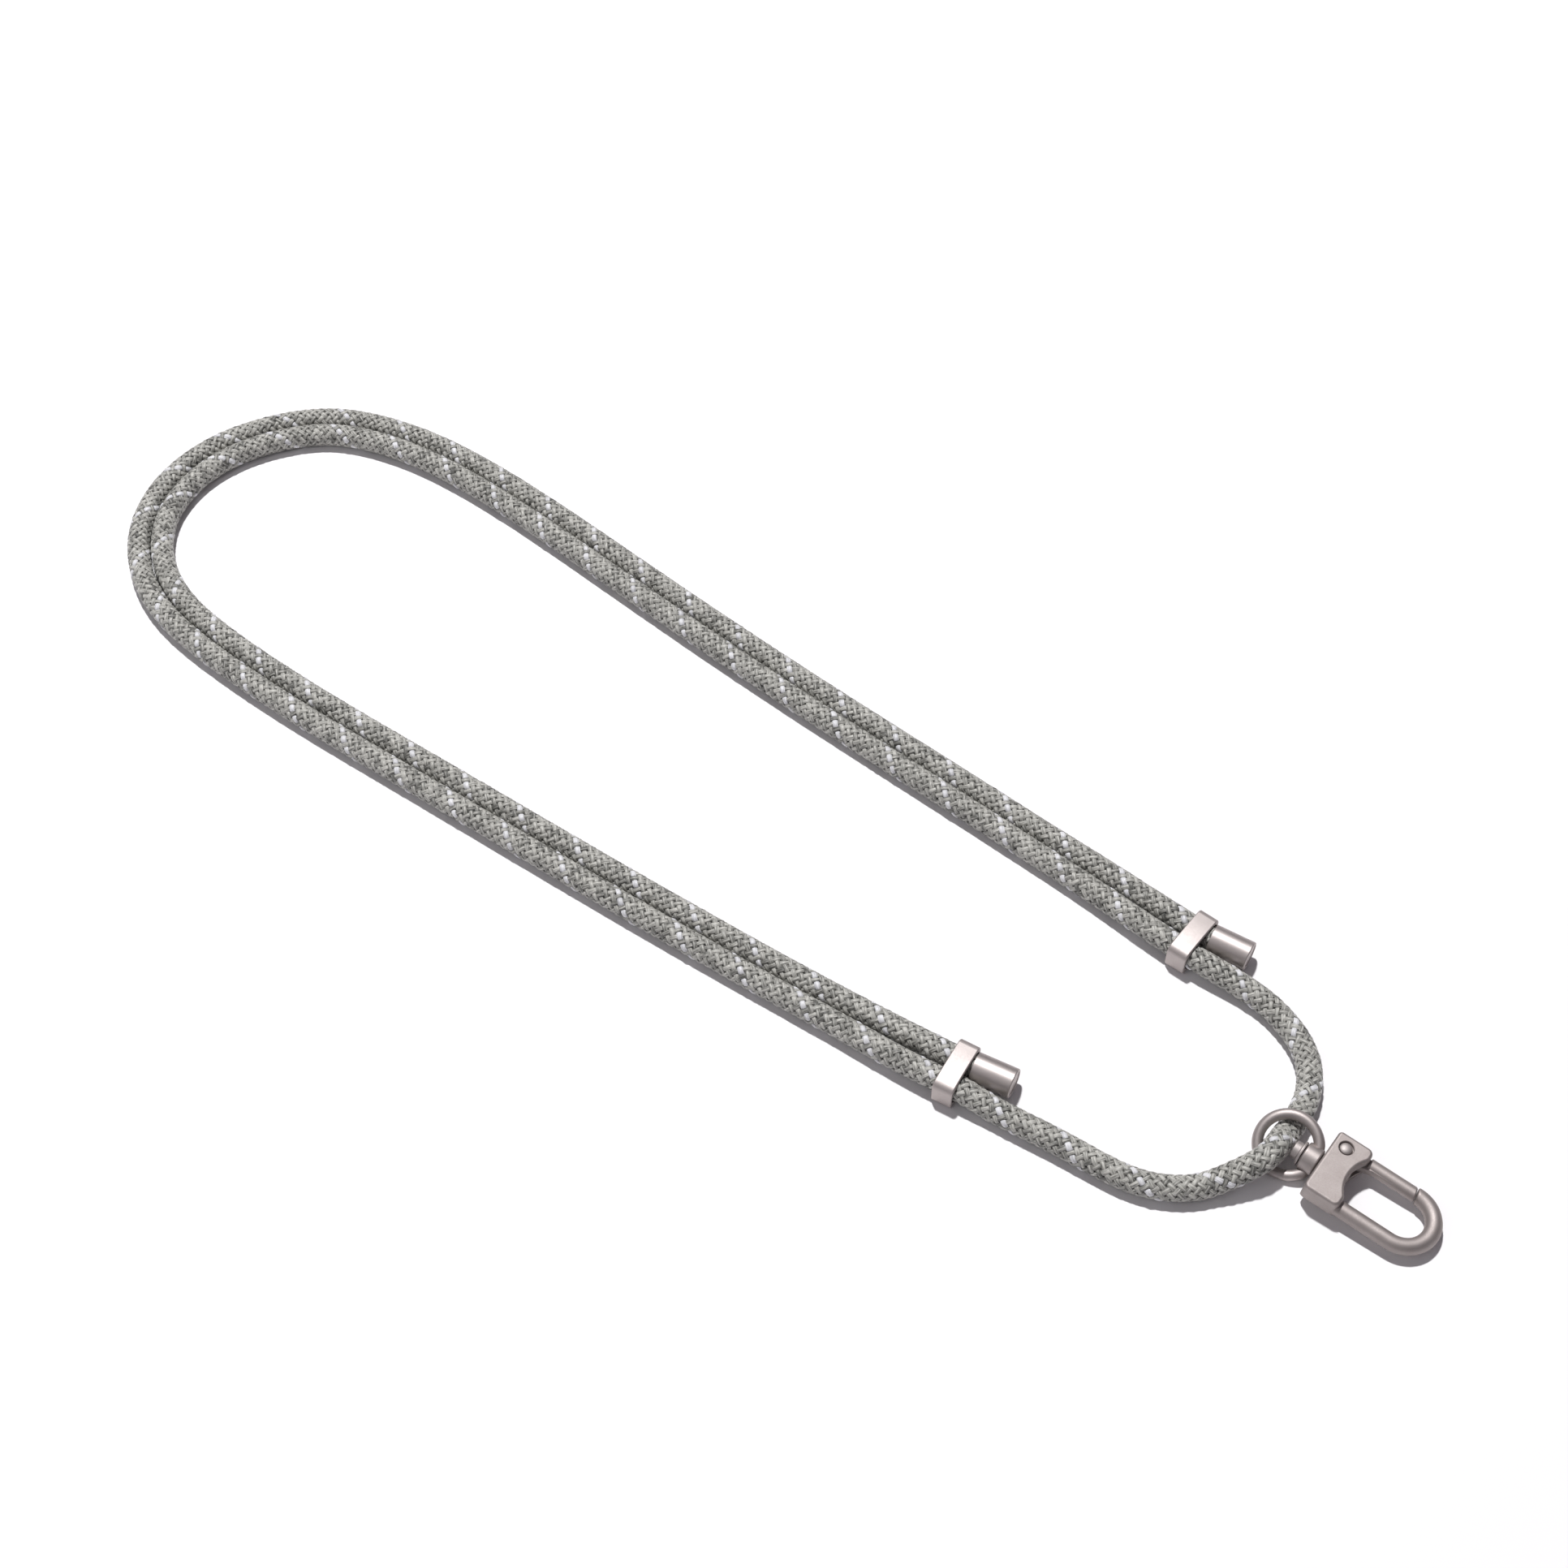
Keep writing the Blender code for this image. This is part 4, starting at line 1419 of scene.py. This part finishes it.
@dataclass(frozen=True)
class HookCasting:
    """The clasp's body and its hook, one casting with a faint parting line."""

    datum: ClaspDatum
    cheek: float = 0.0004
    near_taper: float = 0.0039
    far_taper: float = 0.0020
    end_taper: float = 0.0026
    back_corner: float = 0.0012
    front_corner: float = 0.0020
    mouth_corner: float = 0.0009
    rim: float = 0.0010
    mouth_radius: float = 0.0120
    mouth_depth: float = 0.0026
    mouth_steps: int = 24
    parting: float = 0.00012
    swing_room: float = 0.0018
    cutter_reach: float = 0.02
    recess_lip: float = 0.0002
    nose_edge: float = 0.00055

    def outline(self) -> tuple[list[Flat], list[tuple[Flat, float]]]:
        """Draw the body seen from above.

        Returns:
            Its corners in order, and those that are rounded with their radii.
        """
        d = self.datum
        half = d.body_width / 2
        near = -half - self.cheek
        centre = d.body_end - self.mouth_depth + self.mouth_radius
        mouth_y = math.sqrt(self.mouth_radius**2 - (centre - d.body_end) ** 2)
        spread = math.asin(mouth_y / self.mouth_radius)
        corners = [(d.body_start, half), (d.body_start, near), (d.body_end, near)]
        arc = []
        for k in range(self.mouth_steps + 1):
            angle = -spread + 2 * spread * k / self.mouth_steps
            x = centre - self.mouth_radius * math.cos(angle)
            arc.append((x, self.mouth_radius * math.sin(angle)))
        points = [*corners, *arc, (d.body_end, half)]
        rounded = [(corners[0], self.back_corner), (corners[1], 1.5 * self.back_corner)]
        rounded += [(corner, self.front_corner) for corner in (corners[2], points[-1])]
        rounded += [(corner, self.mouth_corner) for corner in (arc[0], arc[-1])]
        return points, rounded

    def bar(self) -> Solid:
        """Pull and spin a disc into the hook, then cut its slanted nose.

        Returns:
            The hook's bar.
        """
        d = self.datum
        start = d.body_end - d.overlap
        piece = Workpiece.disc("hook_bar", d.hook_bar / 2, (start, -d.bend_radius, 0.0))
        piece.pick(Part.POINTS, lambda v: v.co.y < -d.bend_radius - d.hook_bar / 2 + TOUCH)
        bpy.ops.transform.translate(value=(0.0, -self.parting, 0.0))
        bpy.ops.mesh.select_all(action="SELECT")
        pull((d.bend_x - start, 0.0, 0.0))
        bpy.ops.mesh.spin(
            steps=BAR_FACETS, angle=-math.pi, center=(d.bend_x, 0.0, 0.0), axis=(0.0, 0.0, 1.0)
        )
        pull((-d.overlap, 0.0, 0.0))
        bar = piece.close()
        self.cut_nose(bar, -1.0)
        return bar

    def cut_nose(self, bar: Solid, side: float) -> None:
        """Cut a bar along the slanted plane between the gate and the hook, and soften the cut.

        Args:
            bar: the bar, drawn from the ring's centre.
            side: -1 keeps what lies past the plane, +1 what lies before it.
        """
        d = self.datum
        reach = self.cutter_reach
        cutter = Workpiece.block("cutter", (reach, reach, reach)).close()
        slant = math.radians(d.nose_slant)
        origin = Vector((d.bend_x - d.nose_setback, d.bend_radius, 0.0))
        shift = Matrix.Translation((side * (reach - d.fit) / 2, 0.0, 0.0))
        turn = Matrix.Rotation(slant, 4, "Z")
        cutter.data.transform(Matrix.Translation(origin) @ turn @ shift)
        combine(bar, cutter, Join.CUT)
        piece = Workpiece(bar.name)
        seam = piece.pick(
            Part.LINES,
            lambda e: all(abs(v.co.x - d.bend_x) < TOUCH and v.co.y > 0 for v in e.verts),
        )
        if seam:
            bpy.ops.mesh.dissolve_edges()
        way = Vector((math.cos(slant), math.sin(slant), 0.0))

        def on_cut(edge: bmesh.types.BMEdge) -> bool:
            """Tell whether an edge lies on the cut."""
            return all(abs((v.co - origin).dot(way)) < d.fit and v.co.y > 0 for v in edge.verts)

        piece.round_lines(on_cut, self.nose_edge)
        piece.close()

    def pare(self, body: Solid, edge: Flat, depth: float, turn: float) -> None:
        """Plane off one lower edge of the body at 45 degrees.

        Args:
            body: the body, drawn from the ring's centre.
            edge: where the edge lies before the cut.
            depth: how far up and inwards the flat reaches.
            turn: the cut's direction about the vertical; at 0 it faces the viewer's side.
        """
        size = 0.04
        cutter = Workpiece.block("plane", (size, size, size)).close()
        slope = Matrix.Rotation(math.pi / 4, 4, "X")
        inward = Matrix.Translation((0.0, depth / math.sqrt(2.0) - size / 2, 0.0))
        around = Matrix.Rotation(turn, 4, "Z")
        place = Matrix.Translation((*edge, -self.datum.body_thickness / 2))
        cutter.data.transform(place @ around @ slope @ inward)
        combine(body, cutter, Join.CUT)

    def recess(self) -> Solid:
        """Turn the cutter for the rivet's recess and hole.

        Returns:
            The cutter, upright at the pivot.
        """
        d = self.datum
        top = d.body_thickness / 2
        floor = top - d.rivet_recess
        wide = d.rivet_head / 2 + d.fit
        mouth = wide + self.recess_lip
        thin = d.rivet_shank / 2 + d.fit
        profile = [(-top - d.past, 0.0), (-top - d.past, thin), (floor, thin), (floor, wide)]
        profile += [(top - self.recess_lip, wide), (top, mouth), (top + d.past, mouth)]
        profile.append((top + d.past, 0.0))
        cutter = Workpiece.turned("recess", profile, 48)
        d.upright(cutter)
        return cutter

    def build(self, finish: Material) -> Solid:
        """Model and dress the casting.

        Args:
            finish: its metal.

        Returns:
            The piece.
        """
        d = self.datum
        outline, rounded = self.outline()
        side = d.body_thickness / 2 - self.rim
        piece = Workpiece.prism("clasp_casting", outline, side, rounded)
        piece.crown_plate(self.rim, 5)
        body = piece.close()
        half = d.body_width / 2
        middle = (d.body_start + d.body_end) / 2
        self.pare(body, (middle, -half - self.cheek), self.near_taper, 0.0)
        self.pare(body, (middle, half), self.far_taper, math.pi)
        self.pare(body, (d.body_start, 0.0), self.end_taper, -math.pi / 2)
        self.pare(body, (d.body_end, 0.0), self.end_taper, math.pi / 2)
        combine(body, self.bar(), Join.ADD)
        inner = d.pivot_offset - d.gate_eye / 2 - d.fit - self.swing_room
        back = d.pivot_x - d.gate_eye / 2 - 2 * d.fit
        reach = self.cutter_reach
        size = (reach, reach, d.gate_tongue + 2 * d.fit)
        slot = Workpiece.block("slot", size, (back + reach / 2, inner + reach / 2, 0.0))
        slot.round_lines(
            lambda e: abs((e.verts[0].co - e.verts[1].co).z) > 0.001, d.gate_eye * 0.35, 6
        )
        combine(body, slot.close(), Join.CUT)
        d.bore(body, d.body_start - d.past, d.body_start + d.pin_depth + d.fit)
        combine(body, self.recess(), Join.CUT)
        d.seat(body)
        return dress(body, finish, Body.HOOK, "hook_body", 36.0)


@dataclass(frozen=True)
class GateArm:
    """The sprung arm that closes the hook: an eye, a flat tongue and a round bar."""

    datum: ClaspDatum
    casting: HookCasting
    tongue_width: float = 0.0034
    tongue_root: float = 0.003
    tongue_edge: float = 0.0003
    play: float = 0.0001
    heel: float = 0.0003
    eye_steps: int = 24
    drill_reach: float = 0.01

    def build(self, finish: Material) -> Solid:
        """Model and dress the gate.

        Args:
            finish: its metal.

        Returns:
            The piece.
        """
        d = self.datum
        start = d.body_end + d.fit
        piece = Workpiece.disc("gate_bar", d.gate_bar / 2, (start, d.bend_radius, 0.0))
        pull((d.bend_x + d.overlap - start, 0.0, 0.0))
        piece.clean()
        piece.round_lines(lambda e: all(abs(v.co.x - start) < WELD for v in e.verts), self.heel)
        gate = piece.close()
        self.casting.cut_nose(gate, 1.0)
        gate.name = "gate_arm_piece"
        thick = d.gate_tongue / 2 - self.play
        eye_r = d.gate_eye / 2
        root = start + self.tongue_root
        angle = math.atan2(d.bend_radius - d.pivot_offset, root - d.pivot_x)
        outline = []
        for k in range(self.eye_steps + 1):
            turn = angle + math.pi / 2 + math.pi * k / self.eye_steps
            x = d.pivot_x + eye_r * math.cos(turn)
            outline.append((x, d.pivot_offset + eye_r * math.sin(turn)))
        for side in (-self.tongue_width / 2, self.tongue_width / 2):
            y = d.bend_radius + math.cos(angle) * side
            outline.append((root - math.sin(angle) * side, y))
        tongue = Workpiece.prism("tongue", outline, thick - self.tongue_edge)
        tongue.crown_plate(self.tongue_edge, 3)
        combine(gate, tongue.close(), Join.ADD)
        hole_r = d.rivet_shank / 2 + d.fit
        drill = Workpiece.rod("drill", -self.drill_reach, self.drill_reach, hole_r, 32)
        d.upright(drill)
        combine(gate, drill, Join.CUT)
        d.seat(gate)
        return dress(gate, finish, Body.GATE, "gate", 36.0)


@dataclass(frozen=True)
class GateRivet:
    """The domed rivet that the gate turns on."""

    datum: ClaspDatum
    crown: float = 0.0009
    rim: float = 0.0003
    foot: float = 0.0004
    dome_steps: int = 9

    def build(self, finish: Material) -> Solid:
        """Model and dress the rivet.

        Args:
            finish: its metal.

        Returns:
            The piece.
        """
        d = self.datum
        top = d.body_thickness / 2
        base = top - d.rivet_recess + d.fit
        foot = self.foot - top
        head = d.rivet_head / 2
        shank = d.rivet_shank / 2
        profile = [(foot, 0.0), (foot, shank), (base, shank), (base, head)]
        for k in range(self.dome_steps):
            angle = math.pi / 2 * k / self.dome_steps
            height = base + self.rim + self.crown * math.sin(angle)
            profile.append((height, head * math.cos(angle)))
        profile.append((base + self.rim + self.crown, 0.0))
        obj = Workpiece.turned("rivet_dome", profile, 48)
        d.upright(obj)
        d.seat(obj)
        return dress(obj, finish, Body.HOOK, "gate_rivet", 40.0)


@dataclass(frozen=True)
class SoftLight:
    """One square white lamp that is aimed at a point."""

    name: str
    place: Point
    aim: Point
    size: float
    watts: float

    def build(self) -> None:
        """Hang the lamp."""
        lamp = bpy.data.lights.new(self.name, "AREA")
        lamp.size = self.size
        lamp.energy = self.watts
        obj = bpy.data.objects.new(self.name, lamp)
        obj.location = self.place
        look = Vector(self.aim) - Vector(self.place)
        obj.rotation_euler = look.to_track_quat("-Z", "Y").to_euler()
        bpy.context.collection.objects.link(obj)


@dataclass(frozen=True)
class Studio:
    """The white table, the soft lights and the camera."""

    target: Point = (-0.1820, 0.0172, 0.0)
    azimuth: float = 37.0
    elevation: float = 53.0
    distance: float = 0.8085
    lens: float = 54.78
    floor_size: float = 8.0
    sky: float = 0.15
    sky_colour: Colour = (1.0, 0.925, 1.03)

    def build(self) -> None:
        """Set up the whole studio."""
        self.lay_floor()
        self.hang_lights()
        self.place_camera()

    def lay_floor(self) -> None:
        """Lay the white table."""
        clear_selection()
        bpy.ops.mesh.primitive_plane_add(size=self.floor_size, location=(0.0, 0.0, 0.0))
        floor = bpy.context.object
        floor.name = "table"
        floor.data.materials.append(PaperFloor().material())

    def hang_lights(self) -> None:
        """Hang one crisp key light behind the strap and a wide soft fill, under an even sky."""
        world = bpy.data.worlds.new("studio_sky")
        world.use_nodes = True
        sky = world.node_tree.nodes["Background"]
        sky.inputs["Color"].default_value = (*self.sky_colour, 1.0)
        sky.inputs["Strength"].default_value = self.sky
        bpy.context.scene.world = world
        SoftLight("key", (-1.192, 0.742, 3.373), (-0.18, 0.0, 0.0), 0.22, 138.0).build()
        SoftLight("front_fill", (-0.48, -1.10, 1.12), (-0.18, 0.0, 0.0), 1.0, 2.9).build()

    def place_camera(self) -> None:
        """Place the camera at the photograph's angle."""
        data = bpy.data.cameras.new("camera")
        data.lens = self.lens
        data.sensor_width = 36.0
        data.clip_start = 0.01
        camera = bpy.data.objects.new("camera", data)
        turn = math.radians(self.azimuth)
        rise = math.radians(self.elevation)
        level = self.distance * math.cos(rise)
        x, y, z = self.target
        x += level * math.sin(turn)
        y -= level * math.cos(turn)
        camera.location = (x, y, z + self.distance * math.sin(rise))
        camera.rotation_euler = (math.pi / 2 - rise, 0.0, turn)
        bpy.context.collection.objects.link(camera)
        bpy.context.scene.camera = camera


SAGE = YarnFinish(
    "sage_yarn", (0.022, 0.022, 0.020), (0.117, 0.1155, 0.104), (0.54, 0.532, 0.492)
)
TRACER = YarnFinish(
    "white_tracer_yarn", (0.30, 0.30, 0.315), (0.56, 0.56, 0.58), (0.78, 0.78, 0.80)
)
METALS = (
    SatinNickel("satin_nickel_sleeve", (0.475, 0.430, 0.417), (0.505, 0.460, 0.447), 0.54, 0.62),
    SatinNickel("turned_nickel_cup", (0.475, 0.429, 0.416), (0.51, 0.464, 0.450), 0.46, 0.54),
    SatinNickel("satin_nickel_ring", (0.42, 0.378, 0.366), (0.46, 0.42, 0.408), 0.52, 0.62),
    SatinNickel("satin_nickel_casting", (0.388, 0.346, 0.334), (0.425, 0.384, 0.371), 0.58, 0.68),
    SatinNickel("satin_pin_steel", (0.46, 0.42, 0.408), (0.50, 0.46, 0.447), 0.58, 0.68),
)


def main() -> None:
    """Build, dress and light the strap."""
    logging.basicConfig(level=logging.INFO, format="%(name)s: %(message)s")
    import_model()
    bpy.context.scene.view_settings.view_transform = "Standard"
    Studio().build()
    fittings = Fittings()
    datum = ClaspDatum()
    casting = HookCasting(datum)
    BraidedRope(RopeRoute(fittings), SAGE, TRACER, PaintedShadeCore()).build()
    sleeve, cup, ring, cast, steel = (metal.material() for metal in METALS)
    sides = (("upper", UPPER_SLIDER), ("lower", LOWER_SLIDER))
    for side, place in sides:
        Slider(f"{side}_sleeve", f"{side}_slider", place, fittings).build(sleeve)
    for side, place in sides:
        EndCap(f"{side}_cup", f"{side}_end_cap", place, fittings).build(cup)
    SwivelRing(datum).build(ring)
    SwivelPin(datum).build(steel)
    casting.build(cast)
    GateArm(datum, casting).build(cast)
    GateRivet(datum).build(steel)
    clear_selection()


if __name__ == "__main__":
    main()
